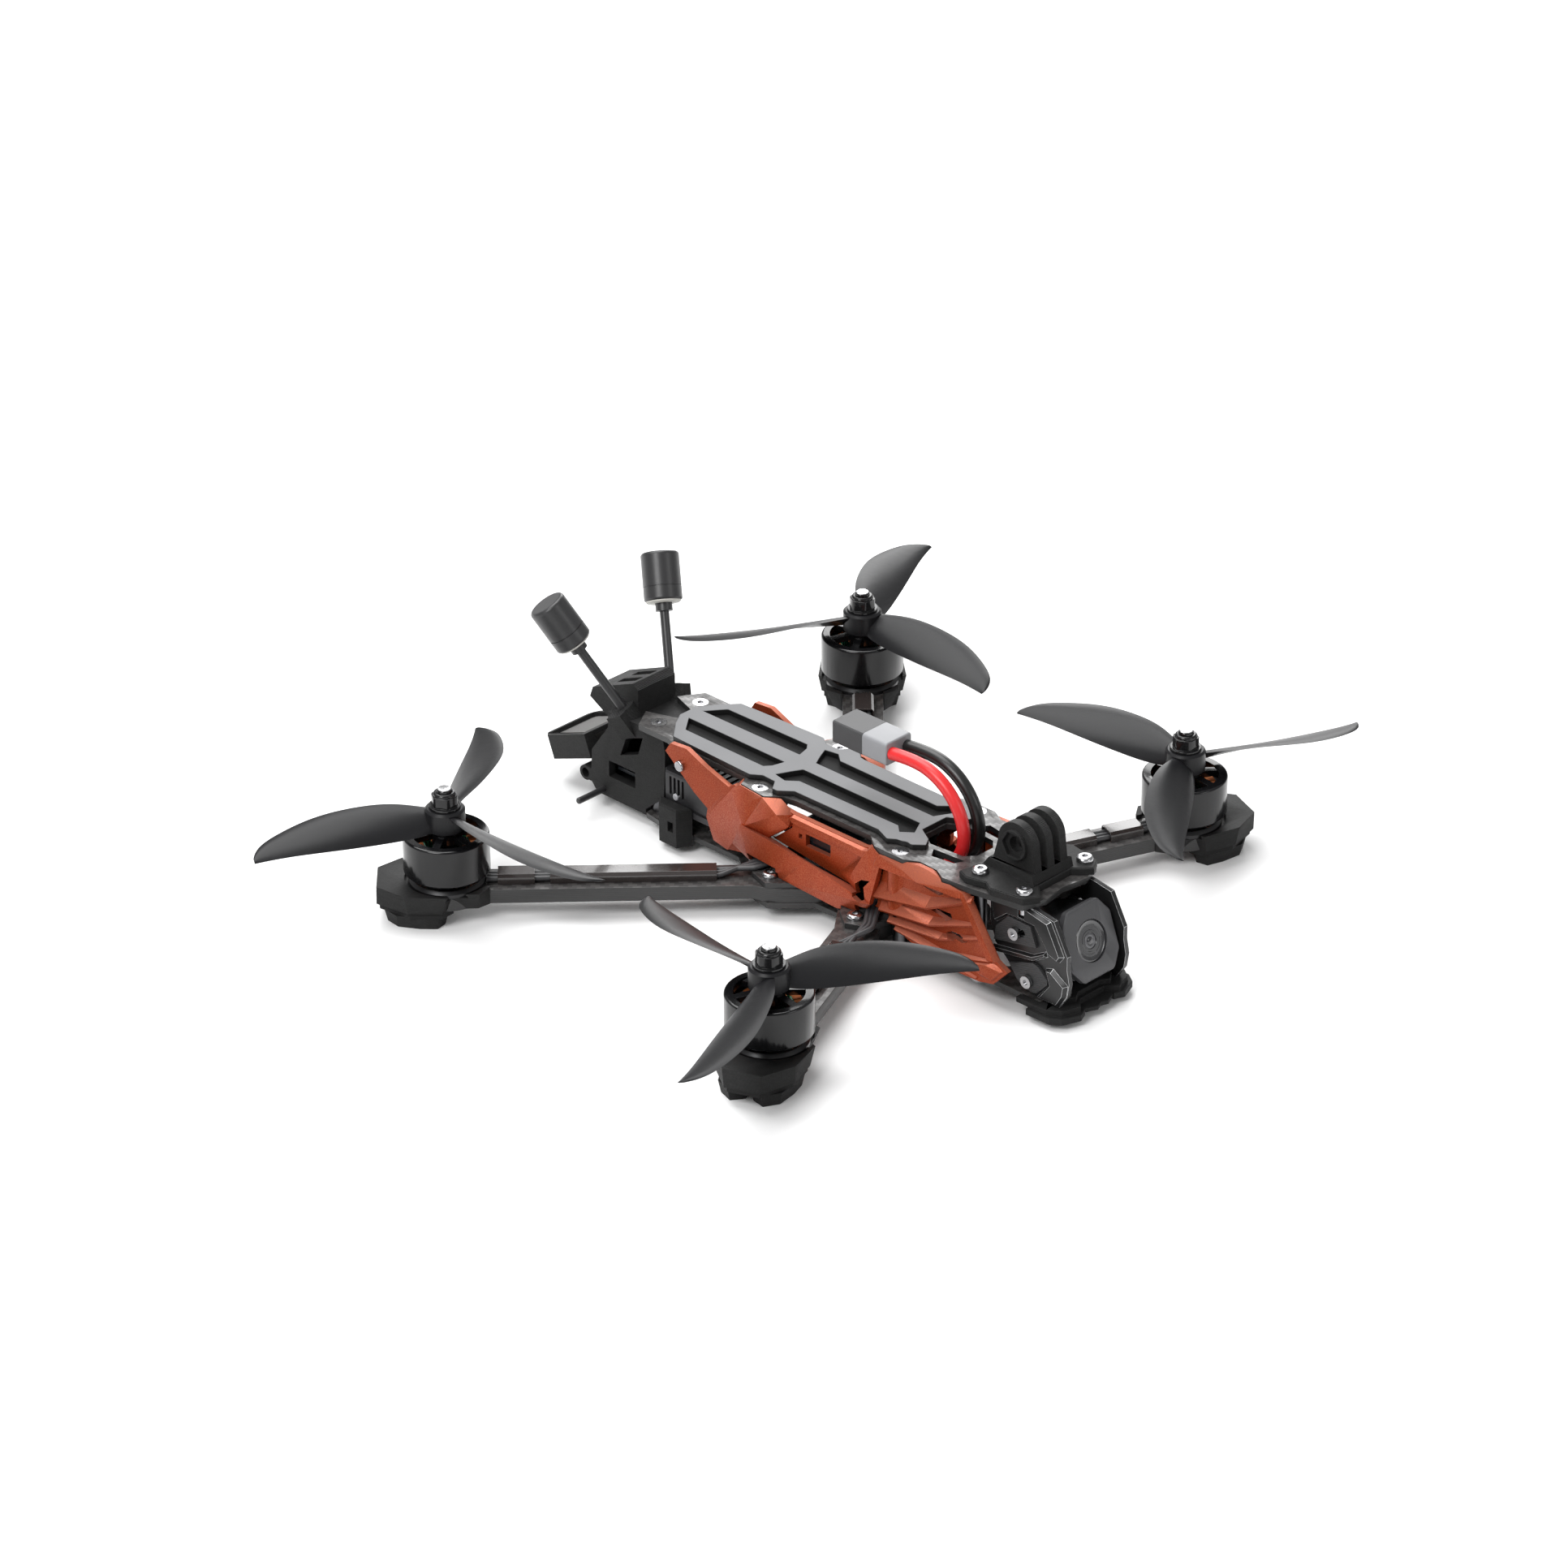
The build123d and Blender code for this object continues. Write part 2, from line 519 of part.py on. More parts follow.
def stack_screws():
    """Four long screws, each with a spacer and two nuts."""
    pieces = []
    for sx in (1, -1):
        for sy in (1, -1):
            x, y = sx * STACK_PITCH / 2, STACK_Y + sy * STACK_PITCH / 2
            head = post(x, y, Z_BOTTOM - M3_HEAD_H, M3_HEAD_R, M3_HEAD_H)
            rod = post(x, y, Z_BOTTOM, M3_R, FC_Z + BOARD_T + 3.6 - Z_BOTTOM)
            nut_z = FC_Z + BOARD_T + 1.0
            nut = extrude(Pos(x, y, nut_z) * RegularPolygon(2.75, 6, major_radius=False), 2.4)
            pieces.append(head + rod + nut)
    return pieces


def stack_grommets():
    """Soft bushes that hold each board off the screws."""
    pieces = []
    for z in (ESC_Z, FC_Z):
        for sx in (1, -1):
            for sy in (1, -1):
                x, y = sx * STACK_PITCH / 2, STACK_Y + sy * STACK_PITCH / 2
                below = post(x, y, z - 1.0, 3.2, 1.0)
                neck = post(x, y, z, 2.0, BOARD_T)
                above = post(x, y, z + BOARD_T, 3.2, 1.0)
                pieces.append(below + neck + above - post(x, y, z - 2, M3_R, BOARD_T + 4))
    for sx in (1, -1):
        for sy in (1, -1):
            x, y = sx * STACK_PITCH / 2, STACK_Y + sy * STACK_PITCH / 2
            for z0, z1 in ((Z_BAY, ESC_Z - 1), (ESC_Z + BOARD_T + 1, FC_Z - 1)):
                pieces.append(post(x, y, z0, 2.4, z1 - z0) - post(x, y, z0 - 1, M3_R, z1 - z0 + 2))
    return pieces


AIR_X = 15.25
AIR_Y = (27.0, 57.5)
AIR_Z = (Z_BAY - 0.6, Z_BAY + 13.0)
BUTTON = (50.8, Z_BAY + 4.6)     # link button on the air unit's right side, along Y and Z
BUTTON_R = 1.2
BUTTON_TRAVEL = 0.5


def air_unit():
    """The video transmitter: a finned metal case."""
    y0, y1 = AIR_Y
    z0, z1 = AIR_Z
    case = brick(-AIR_X, AIR_X, y0, y1, z0, z1)
    case = chamfer(case.edges().filter_by(Axis.Z), 2.0)
    case = chamfer(case.edges().group_by(Axis.Z)[-1], 0.6)
    for side in (1, -1):
        for i in range(4):
            y = y1 - 4.4 - 1.9 * i
            case -= brick(side * AIR_X - 1.0, side * AIR_X + 1.0, y - 0.5, y + 0.5, z0 + 5.5, z1 - 1.4)
        case -= brick(side * AIR_X - 0.8, side * AIR_X + 0.8, y0 + 4, y0 + 18, z0 + 2.2, z0 + 3.4)
    for i in range(9):
        y = y0 + 3.4 + 3.0 * i
        case -= brick(-12.5, 12.5, y - 0.6, y + 0.6, z1 - 1.2, z1 + 1)
    for sx in (1, -1):
        for y in (y0 + 4.0, y1 - 4.0):
            case += post(sx * 11.2, y, Z_ARM, 2.2, z0 - Z_ARM)
    well = bar_x(*BUTTON, -AIR_X - 1, -AIR_X + 2.2, BUTTON_R + 0.1)
    return case - well


def link_button():
    """The small button that pairs the air unit, sprung in its well."""
    cap = bar_x(*BUTTON, -AIR_X - 0.4, -AIR_X + 1.6, BUTTON_R)
    return chamfer(cap.edges().group_by(Axis.X)[0], 0.3)


def receiver():
    """The radio receiver board in the tail."""
    y0, z0 = 71.5, 14.0
    board_ = brick(-9.6, 9.6, y0, y0 + 12.4, z0, z0 + 1.2)
    return board_ + brick(-5, 5, y0 + 2, y0 + 9, z0 + 1.2, z0 + 2.8) + brick(-9, -6.2, y0 + 8, y0 + 11, z0 + 1.2, z0 + 2.6)


def capacitor():
    """The smoothing capacitor across the battery leads."""
    can = Pos(0, -66, Z_BAY + 2.4) * Rot(90, 0, 0) * Cylinder(4.0, 14)
    return fillet(can.edges(), 0.6)


# ================================================================ side covers
def hull(points):
    """The convex solid with flat faces round a list of points."""
    points = [Vector(*p) for p in points]
    centre = sum(points, Vector(0, 0, 0)) / len(points)
    walls = {}
    for i, a in enumerate(points):
        for j in range(i + 1, len(points)):
            for k in range(j + 1, len(points)):
                normal = (points[j] - a).cross(points[k] - a)
                if normal.length < 1e-6:
                    continue
                normal = normal.normalized()
                if normal.dot(centre - a) > 0:
                    normal = normal * -1
                heights = [normal.dot(p - a) for p in points]
                if max(heights) < 1e-6:
                    walls[tuple(n for n, h in enumerate(heights) if h > -1e-6)] = normal
    faces = []
    for corners_, normal in walls.items():
        middle = sum([points[n] for n in corners_], Vector(0, 0, 0)) / len(corners_)
        along = (points[corners_[0]] - middle).normalized()
        across = normal.cross(along)
        ring = sorted(corners_, key=lambda n: math.atan2((points[n] - middle).dot(across),
                                                         (points[n] - middle).dot(along)))
        n = 0
        while n < len(ring):
            before, here, after = (points[ring[(n + step) % len(ring)]] for step in (-1, 0, 1))
            if (here - before).cross(after - here).dot(normal) < 1e-6:
                del ring[n]
                n = max(n - 1, 0)
            else:
                n += 1
        faces.append(Face(Wire.make_polygon([points[n] for n in ring], close=True)))
    return Solid(Shell(faces))


def side_cover():
    """The left moulded cover: a thin side wall with raised armour on it."""
    low = Z_BAY + 0.2
    under = Z_TOP - 0.2
    wall = [(49.8, 38), (47.4, 41.6), (39.9, 42.2), (34.2, 39.8), (31.4, 38.6), (20.6, 35.4),
            (18.4, under), (-4, under), (-8.6, 36.6), (-40.2, 36.6), (-42, under), (-84, under),
            (-97.4, 17.4), (-102.2, 15), (-96.2, 8.6), (-90, 7.2), (-79.3, 6.8), (-68.5, 6.8), (-56, 11.4),
            (-50.6, 14.2), (-49.6, low), (12, low), (21.7, 12), (27.8, 12.9), (31.1, 20.5),
            (30.5, 23.7), (36.7, 27.4)]
    skin = COVER_X + COVER_T
    shell = side_sheet(wall, COVER_X, COVER_T)
    blocks = armour(skin)
    for block in blocks:
        shell += block
    for block in blocks:
        shell -= Pos(-COVER_T, 0, -0.5 * COVER_T) * block
    for blade in louvres(skin):
        shell += blade
    for (x, y), low_end in ((PLATE_POSTS[1], 17.6), (PLATE_POSTS[2], 18)):
        boss = post(x, y, low_end, POST_R + 0.3 + COVER_T * 0.8, under - low_end)
        shell += boss & brick(COVER_X, 40, -90, 60, 0, 60)
        shell -= post(x, y, 0, POST_R + 0.3, 60)
    shell = shell - cover_openings() - cover_clearance()
    return max(shell.solids(), key=lambda s: s.volume)


def armour(skin):
    """The solid forms that stand out from the cover's side wall, as corners in X, Y and Z."""
    root = skin - 1.2
    shoulder = hull([
        (root, 31, 20.6), (root, 27.4, 13.2), (root, 19, 35.2), (root, -8, 33), (root, 0, 22), (root, 16, 17.4),
        (skin + 0.1, 31.1, 20.5), (skin + 0.1, 27.8, 12.9), (23.2, 19, 13.7), (25, 9.5, 27), (24, 6.4, 37.3),
        (21.6, 18.6, 35.4), (17.8, 16.4, 39.1), (22, 14.2, 39.1), (23, 3, 39.1)])
    peak = hull([
        (root, 8, 38), (root, -2.2, 39.1), (root, -8.4, 35.8), (root, -8.2, 31.5), (root, 1, 24.5),
        (23, 3, 39.1), (24.2, 3, 36.9), (25.6, -6, 37), (21, -8.5, 36.2), (22.4, -8.3, 32.3),
        (23, 0.8, 24.9), (25, 9.5, 27)])
    ridge = hull([
        (root, 17.4, 18.5), (root, 14, 25), (root, 0, 23.4), (root, -26, 18.7), (root, -45.6, 18.4),
        (root, -41, 13.9), (root, -31, 10.6), (root, -5, 12), (root, 18.5, 14),
        (25.6, 10.6, 27.3), (25.8, -19.9, 25.2), (24.6, -46.2, 19.2), (24, 15.8, 17.7), (22.6, 10.4, 13.7),
        (25.2, -8, 13.8), (23.2, -32.8, 11.2), (22.4, -41.9, 14.1)])
    rail = frustum(
        [(-7.6, 35.6), (-8.6, 36.6), (-40.2, 36.6), (-44.4, 37.1), (-44.2, 31), (-40.6, 32.4), (-8.8, 33.2)], root,
        [(-8.2, 35.4), (-9.6, 36.2), (-40.6, 36.0), (-43.2, 36.6), (-43, 33.4), (-40.4, 33.4), (-9.6, 34.2)],
        skin + 1.6)
    brace = hull([
        (root, -29, 21.5), (root, -39.2, 32.6), (root, -43.2, 38.8), (root, -49, 37), (root, -47, 25),
        (root, -46, 18), (20.8, -29.4, 23.2), (22.4, -40.9, 33.9), (21.9, -45, 39), (22.4, -49.4, 36.4),
        (22.8, -45.2, 26.8), (22.9, -35.8, 24.7), (24.3, -45.8, 19.1)])
    crest = hull([
        (root, -44, 37), (root, -64, 39.1), (root, -69, 39.1), (root, -73, 37.6), (root, -84, 37),
        (root, -85.5, 34.6), (root, -66, 34), (root, -45, 32),
        (22, -47.6, 37.3), (20.8, -64, 39.1), (21, -68.6, 39.1), (21.4, -73.4, 37.8), (21.8, -83.2, 37.2),
        (23.6, -47, 33.6), (24, -66, 35), (22.8, -82, 35)])
    return [shoulder, peak, ridge, rail, brace, crest]


def louvres(skin):
    """Four swept blades, the strip down the slanted front edge and the chin under it."""
    root = skin - 1.2
    spines = [  # rear, middle and front of each blade's lip, and the height of its back
        ((-45.4, 21.9), (-69.4, 27.0), (-86.6, 35.0), 6.4),
        ((-48.2, 17.9), (-70.4, 21.2), (-89.6, 27.6), 4.4),
        ((-51.6, 14.7), (-74.6, 17.6), (-92.0, 23.6), 2.6),
        ((-54.4, 12.8), (-74.4, 11.6), (-95.6, 16.8), 2.6),
    ]
    pieces = []
    for i, (rear, middle, front, back) in enumerate(spines):
        lip = skin + 3.2 - 0.35 * i
        ends = [(rear, back, lip - 0.5), (middle, back * 0.62, lip), (front, 1.2, skin + 0.9)]
        for (p, h0, x0), (q, h1, x1) in zip(ends, ends[1:]):
            pieces.append(hull([
                (root, p[0], p[1] + h0), (root, p[0], p[1] - 0.7), (root, q[0], q[1] + h1), (root, q[0], q[1] - 0.7),
                (x0, p[0] - 0.4, p[1]), (x1, q[0] - 0.3, q[1]), (x0 - 0.5, p[0] - 0.4, p[1] - 0.8),
                (x1 - 0.5, q[0] - 0.4, q[1] - 0.8)]))
    pieces.append(hull([
        (root, -80.6, 37), (root, -84.4, 37), (root, -97.8, 17.2), (root, -93.4, 16.6),
        (skin + 1.3, -81.8, 37), (skin + 1.1, -83.8, 37), (skin + 1.1, -97.2, 17.4), (skin + 1.4, -94.6, 17)]))
    pieces.append(hull([
        (root, -97.2, 17.4), (root, -102, 14.9), (root, -96, 8.8), (root, -84.4, 13.6), (root, -90, 8.2),
        (skin + 1.8, -94.4, 15.4), (skin + 1.7, -91.2, 11.4), (skin + 1.5, -87.2, 13.4), (skin + 0.7, -99.6, 14.4),
        (skin + 0.8, -96, 10.2)]))
    pieces.append(hull([
        (root, -56.6, 11.8), (root, -68.6, 7), (root, -80, 7), (root, -90, 7.4), (root, -89.6, 9.2),
        (root, -69, 9.4), (skin + 0.9, -57.6, 12), (skin + 0.9, -68.8, 7.6), (skin + 0.9, -89.4, 8.2),
        (skin + 0.5, -69, 9)]))
    return pieces


def cover_openings():
    """The port window, the reset pinhole, the hexagon vent and the cooling slots."""
    cuts = brick(0, 60, -25.3, -14.3, 26.9, 31.3)
    cuts += brick(0, 60, -12.6, -11.1, 28.6, 30.4)
    vent = [(-38.6, 23.6), (-41.4, 26), (-45.2, 27), (-42.6, 23.8), (-43.6, 20), (-41.4, 18.2), (-38.9, 19.4)]
    cuts += side_sheet(vent, 0, 60)
    for y, z in ((-69.8, 32.6), (-73.8, 25.2), (-80.2, 19.4)):
        slot = [(y + 4.4, z - 0.2), (y + 2, z + 1.3), (y - 4, z + 1.7), (y - 4.8, z), (y - 2.6, z - 1.2)]
        cuts += side_sheet(slot, 0, 60)
    cuts += bar_x(42.8, 35.0, 0, 60, M2_R + SCREW_CLEARANCE)
    return cuts


def cover_clearance():
    """Room round the plates, the arms, their bolts and the motor wires, on the left."""
    gap = 0.2
    up = (0, 0, 1)
    room = extrude(Pos(0, 0, Z_TOP - gap) * offset(Polygon(*top_outline(), align=None), gap), 12, dir=up)
    room += extrude(offset(Polygon(*clamp_outline(), align=None), gap), Z_BAY + gap, dir=up)
    for fore_aft in (1, -1):
        room += at_motor(extrude(arm_outline(fore_aft, gap), Z_CLAMP + gap), fore_aft)
        room += extrude(offset(Polygon(*arm_root(fore_aft), align=None), gap), Z_CLAMP + gap, dir=up)
        x, y = (REAR_BOLTS if fore_aft > 0 else FRONT_BOLTS)[0]
        room += post(x, y, 0, M3_HEAD_R + 0.4, Z_BAY + M3_HEAD_H + 0.4)
    room += brick(10, 40, -5, 9, Z_CLAMP, Z_BAY + 3.4)
    return room + brick(10, 40, -51, -39.4, Z_CLAMP, Z_BAY + 3.2)


def cover_screw():
    """The small screw at the cover's rear tip, into the air unit's side."""
    x = COVER_X + COVER_T
    head = bar_x(42.8, 35.0, x, x + 1.2, 1.9)
    shank = bar_x(42.8, 35.0, x - 4.6, x, M2_R)
    return fillet(head.edges().group_by(Axis.X)[-1], 0.5) + shank


# ================================================================ camera cage and camera
def cage_plate():
    """The left cage plate: an inner plate and the armour raised on it."""
    z0, z1 = Z_ARM, Z_TOP
    inner = [(-89, z1), (-108, z1), (-115.6, z1 - 1.2), (-121.4, 25.4), (-121.4, 21), (-122.4, 16), (-121.6, 11),
             (-118.6, z0), (-108.4, z0), (-97.6, 14), (-91.2, 19.6), (-89, 27)]
    plate = side_sheet(inner, CAGE_IN, CAGE_T - CAGE_ARMOUR_T)
    face = CAGE_IN + CAGE_T - CAGE_ARMOUR_T
    upper = [(-89, z1 - 0.2), (-105.6, z1 - 0.2), (-114.4, z1 - 1.6), (-120.2, 25.2), (-118.4, 22.6),
             (-113.8, 24.2), (-112.6, 26.8), (-108.1, 31.9), (-97.4, 31.9), (-91.6, 27)]
    upper_top = [(-90, z1 - 0.8), (-105.2, z1 - 0.8), (-113.6, z1 - 2.4), (-118.9, 25.2), (-118, 23.6),
                 (-114.2, 24.8), (-113.2, 27), (-108.5, 32.6), (-97, 32.6), (-91.8, 28.4)]
    lower = [(-112.8, 18.4), (-115.7, 19.4), (-122, 15.5), (-121.4, 11.3), (-118.6, z0 + 0.4), (-109.2, z0 + 0.2),
             (-114.6, 13.2)]
    lower_top = [(-113.8, 18.2), (-115.6, 18.2), (-120.8, 14.9), (-120.3, 11.6), (-118, z0 + 1.2),
                 (-111, z0 + 1), (-115.4, 13.4)]
    bar = [(-90.6, 18.6), (-107.6, 21.4), (-112.8, 24.4), (-113.4, 22.6), (-108.2, 19.2), (-91.4, 16.4)]
    bar_top = [(-91, 18.2), (-107.6, 20.8), (-112.6, 23.7), (-112.9, 23.1), (-108.2, 19.8), (-91.6, 17)]
    top_x = CAGE_IN + CAGE_T
    for base, top in ((upper, upper_top), (lower, lower_top), (bar, bar_top)):
        plate += frustum(base, face, top, top_x)
    for x, y in both_sides(MOUNT_SCREWS):
        plate -= post(x, y, Z_TOP - 4.2, M3_R + 0.3, 5)
    return plate - camera_slots()


def camera_slots():
    """A round hole at the pivot and a curved slot for the upper screw."""
    cuts = bar_x(*CAMERA_PIVOT, 0, 30, M2_R + SCREW_CLEARANCE)
    steps = 12
    for i in range(steps + 1):
        turn = -TILT_DOWN - 1.0 + (TILT_UP + TILT_DOWN + 2.0) * i / steps
        y, z = screw_place(turn)
        cuts += bar_x(y, z, 0, 30, M2_R + 0.3)
    return cuts


def screw_place(turn):
    """The upper camera screw when the camera is tilted up by turn degrees."""
    angle = math.radians(CAMERA_LEAN + turn)
    return (CAMERA_PIVOT[0] + CAMERA_SCREW_PITCH * math.sin(angle),
            CAMERA_PIVOT[1] + CAMERA_SCREW_PITCH * math.cos(angle))


def cage_inlays():
    """Printed inlays in the armour's two pockets, each with a slot or hole for its screw."""
    face = CAGE_IN + CAGE_T - CAGE_ARMOUR_T
    upper = [(-92.2, 26.2), (-97.4, 31.6), (-106.6, 31.4), (-109.3, 24.6), (-98.4, 22.4), (-91.4, 21)]
    lower = [(-97.9, 15), (-108, 18.8), (-110.5, 18), (-114, 14.8), (-114.2, 13.2), (-109.6, 8.4), (-107.2, 7.8),
             (-101.4, 10.4)]
    pieces = [side_sheet(outline, face, CAGE_ARMOUR_T * 0.8) for outline in (upper, lower)]
    return [p - camera_slots() for p in pieces]


def camera_frame(shape):
    """Put a piece drawn about the lens axis at its lean, with the pivot on the lower screws.

    Drawn with the screws on X, the lens towards -Y and the bezel's face at zero."""
    return (Pos(0, CAMERA_PIVOT[0], CAMERA_PIVOT[1]) * Rot(-CAMERA_LEAN, 0, 0)
            * Pos(0, -16.4, CAMERA_SCREW_PITCH / 2) * shape)


def camera_housing():
    body = brick(-CAMERA_W / 2 + 1.6, CAMERA_W / 2 - 1.6, 2.6, 21.0, -10.2, 10.2)
    body = chamfer(body.edges().filter_by(Axis.Y), 1.6)
    for side in (1, -1):
        for z in (CAMERA_SCREW_PITCH / 2, -CAMERA_SCREW_PITCH / 2):
            boss = bar_x(16.4, z, side * (CAMERA_W / 2 - 2.4), side * CAMERA_W / 2, 2.4)
            body += boss
    neck = Pos(0, 2.6, 0) * Rot(90, 0, 0) * Cylinder(9.4, 2.6)
    body += neck
    for side in (1, -1):
        for z in (CAMERA_SCREW_PITCH / 2, -CAMERA_SCREW_PITCH / 2):
            body -= bar_x(16.4, z, side * (CAMERA_W / 2 - 3.6), side * (CAMERA_W / 2 + 1), M2_R)
    return camera_frame(body)


def camera_bezel():
    """The octagonal front ring with a recess for the glass."""
    w, h, c, d = BEZEL_W / 2, BEZEL_H / 2, 4.2, 5.6
    outline = [(w, h - d), (w - c, h), (-w + c, h), (-w, h - d), (-w, -h + d), (-w + c, -h), (w - c, -h),
               (w, -h + d)]
    plate = extrude(Plane.XZ * Polygon(*outline, align=None), 2.6, dir=(0, 1, 0))
    plate = fillet(plate.edges().filter_by(Axis.Y), 2.4)
    plate = chamfer(plate.edges().group_by(Axis.Y)[0], 0.5)
    plate -= Pos(0, 0, 0) * Rot(90, 0, 0) * Cylinder(6.9, 2.4)
    plate -= Pos(0, 1, 0) * Rot(90, 0, 0) * Cylinder(4.6, 4)
    plate -= Pos(0, 2.6, 0) * Rot(90, 0, 0) * Cylinder(9.4, 2.6)
    return camera_frame(plate)


def camera_glass():
    disc = Pos(0, 0.75, 0) * Rot(90, 0, 0) * Cylinder(6.75, 0.9)
    lens = Pos(0, 0.3, 0) * Rot(90, 0, 0) * Cylinder(2.2, 0.6)
    return camera_frame(disc + lens)


def camera_screws():
    pieces = []
    for side in (1, -1):
        for z in (CAMERA_SCREW_PITCH / 2, -CAMERA_SCREW_PITCH / 2):
            x = CAGE_IN + CAGE_T + 0.05
            head = bar_x(16.4, z, side * x, side * (x + 1.3), 2.1)
            shank = bar_x(16.4, z, side * (CAMERA_W / 2 - 3.4), side * x, M2_R)
            socket = bar_x(16.4, z, side * (x + 0.7), side * (x + 2), 0.9)
            pieces.append(camera_frame(head + shank - socket))
    return pieces


def nose_bumper():
    """The printed skid that plugs on to the bottom plate's front end."""
    lobe = [(9, -109), (19.4, -109), (19, -118.4), (16.6, -122), (10.4, -124.4), (6.8, -122.8), (6.8, -114)]
    under = sheet(lobe, Z_BOTTOM - 2.3, 2.3) + sheet([(-x, y) for x, y in lobe], Z_BOTTOM - 2.3, 2.3)
    middle = [(0, -110), (9, -110), (9.6, -119), (6.4, -122.6), (2.4, -124.4), (0, -123.4)]
    body = under + sheet(mirrored(middle), Z_BOTTOM - 1.5, 1.5)
    rim = [(0, -112.2), (16.1, -112.2), (16.1, -104), (18.4, -104), (18.4, -116.6), (15.6, -120.8), (9.2, -123),
           (5.6, -119.6), (0, -119.6)]
    body += sheet(mirrored(rim), Z_BOTTOM, BOTTOM_T)
    lip = [(0, -112.4), (11.6, -112.4), (11.6, -117.6), (8, -120), (5, -118.2), (0, -118.2)]
    body += sheet(mirrored(lip), Z_ARM, 1.7)
    return body


def rear_bumpers():
    """Printed corner blocks that clip round the bottom plate's wide rear part."""
    outline = [(15.8, 58.2), (20.6, 53.4), (20.6, 45.4), (15.6, 42.6)]
    block = sheet(outline, Z_BOTTOM - 1.6, BUMPER_H)
    block -= sheet([(14, 62), (15.7, 58), (19, 52.5), (19, 46.5), (15, 43), (13, 43)], Z_BOTTOM, BOTTOM_T)
    block -= brick(13, 22, 47.0, 49.4, Z_ARM + 1.6, Z_ARM + 5.2)
    return [chamfer(block.edges().group_by(Axis.Z)[-1], 0.6)]


# ================================================================ action camera mount
def action_camera_mount():
    """The printed base with three fingers for a five-millimetre cross bolt."""
    base = [(0, -80.5), (9.6, -80.5), (17.6, -78.6), (19.4, -83), (17.6, -90), (19.6, -93.4), (17.4, -105.4),
            (12.6, -108.4), (9.4, -105.4), (7.4, -103.2), (0, -103.2)]
    body = sheet(mirrored(base), Z_DECK, 2.6)
    body = chamfer(body.edges().group_by(Axis.Z)[-1], 0.5)
    axis_y, axis_z = -93.2, Z_DECK + 13.3
    foot = [(axis_y + 12.2, Z_DECK + 2.6), (axis_y - 9.4, Z_DECK + 2.6), (axis_y - 8.6, Z_DECK + 5.6),
            (axis_y + 10.0, Z_DECK + 5.6)]
    body += side_sheet(foot, -9.2, 18.4)
    finger = [(axis_y + 10.2, Z_DECK + 2.6), (axis_y - 8.8, Z_DECK + 2.6), (axis_y - 7.4, axis_z),
              (axis_y + 6.2, axis_z + 4.0)]
    for x in (-7.6, -1.6, 4.4):
        body += side_sheet(finger, x, 3.2)
        body += bar_x(axis_y, axis_z, x, x + 3.2, 7.4)
    for side in (1, -1):
        body += bar_x(axis_y, axis_z, side * 7.5, side * 8.9, 5.0)
    body -= bar_x(axis_y, axis_z, -20, 20, 2.55)
    recess = extrude(Plane.YZ.offset(-9.5) * Pos(axis_y, axis_z) * RegularPolygon(4.0, 6, major_radius=False), 1.9,
                     dir=(1, 0, 0))
    body -= recess
    for x, y in both_sides(MOUNT_SCREWS):
        body -= post(x, y, Z_DECK - 1, M3_R + SCREW_CLEARANCE, 6)
        body -= post(x, y, Z_DECK + 2.6, M3_HEAD_R + 0.3, 4)
    return body


# ================================================================ battery lead
LEAD_ROUTE = [(-43.0, 21.8), (-52.0, 25.2), (-60.6, 30.6), (-66.6, 36.6), (-68.0, 45.0), (-64.8, 53.6),
              (-57.6, 60.4), (-47.0, 63.6), (-36.1, 62.1)]


def lead(x):
    """One silicone lead, from the connector over to the opening and down inside."""
    points = [Vector(x, y, z) for y, z in LEAD_ROUTE]
    radii = []
    for a, b, c in zip(points, points[1:], points[2:]):
        turn = math.radians((b - a).get_angle(c - b))
        radii.append(0.45 * min((b - a).length, (c - b).length) / math.tan(turn / 2))
    path = FilletPolyline(*points, radius=radii)
    section = Plane(origin=path @ 0, z_dir=path % 0) * Circle(LEAD_R)
    tube = sweep(section, path=path)
    print("lead", round(path.length, 1), "radii", [round(r, 1) for r in radii],
          "volume ratio", round(tube.volume / (math.pi * LEAD_R ** 2 * path.length), 4))
    return tube


def connector_cover():
    y0 = CONNECTOR_REAR_Y - CONNECTOR_L
    y1 = y0 - CONNECTOR_COVER_L
    body = brick(-CONNECTOR_W / 2, CONNECTOR_W / 2, y1, y0, CONNECTOR_Z, CONNECTOR_Z + CONNECTOR_H)
    body = fillet(body.edges().filter_by(Axis.Y), 1.3)
    return fillet(body.edges().group_by(Axis.Y)[0], 0.6)


def power_connector():
    y0 = CONNECTOR_REAR_Y
    y1 = y0 - CONNECTOR_L
    body = brick(-CONNECTOR_W / 2 + 0.2, CONNECTOR_W / 2 - 0.2, y1, y0, CONNECTOR_Z + 0.1,
                 CONNECTOR_Z + CONNECTOR_H - 0.1)
    body = chamfer(body.edges().filter_by(Axis.Y), 0.5)
    body -= brick(-CONNECTOR_W / 2 + 1.4, CONNECTOR_W / 2 - 1.4, y0 - 9, y0 + 1, CONNECTOR_Z + 1.4,
                  CONNECTOR_Z + CONNECTOR_H - 1.4)
    for x in (LEAD_X, -LEAD_X):
        body += Pos(x, y0 - 5.4, CONNECTOR_Z + CONNECTOR_H / 2) * Rot(90, 0, 0) * Cylinder(1.75, 7.8)
    return body


# ================================================================ tail
def along_aerial(shape):
    """Put a piece drawn up the Z axis on the left antenna's axis, from its foot."""
    plane = Plane(origin=AERIAL_FOOT, x_dir=(1, 0, 0), z_dir=tuple(AERIAL_DIR))
    return plane * shape


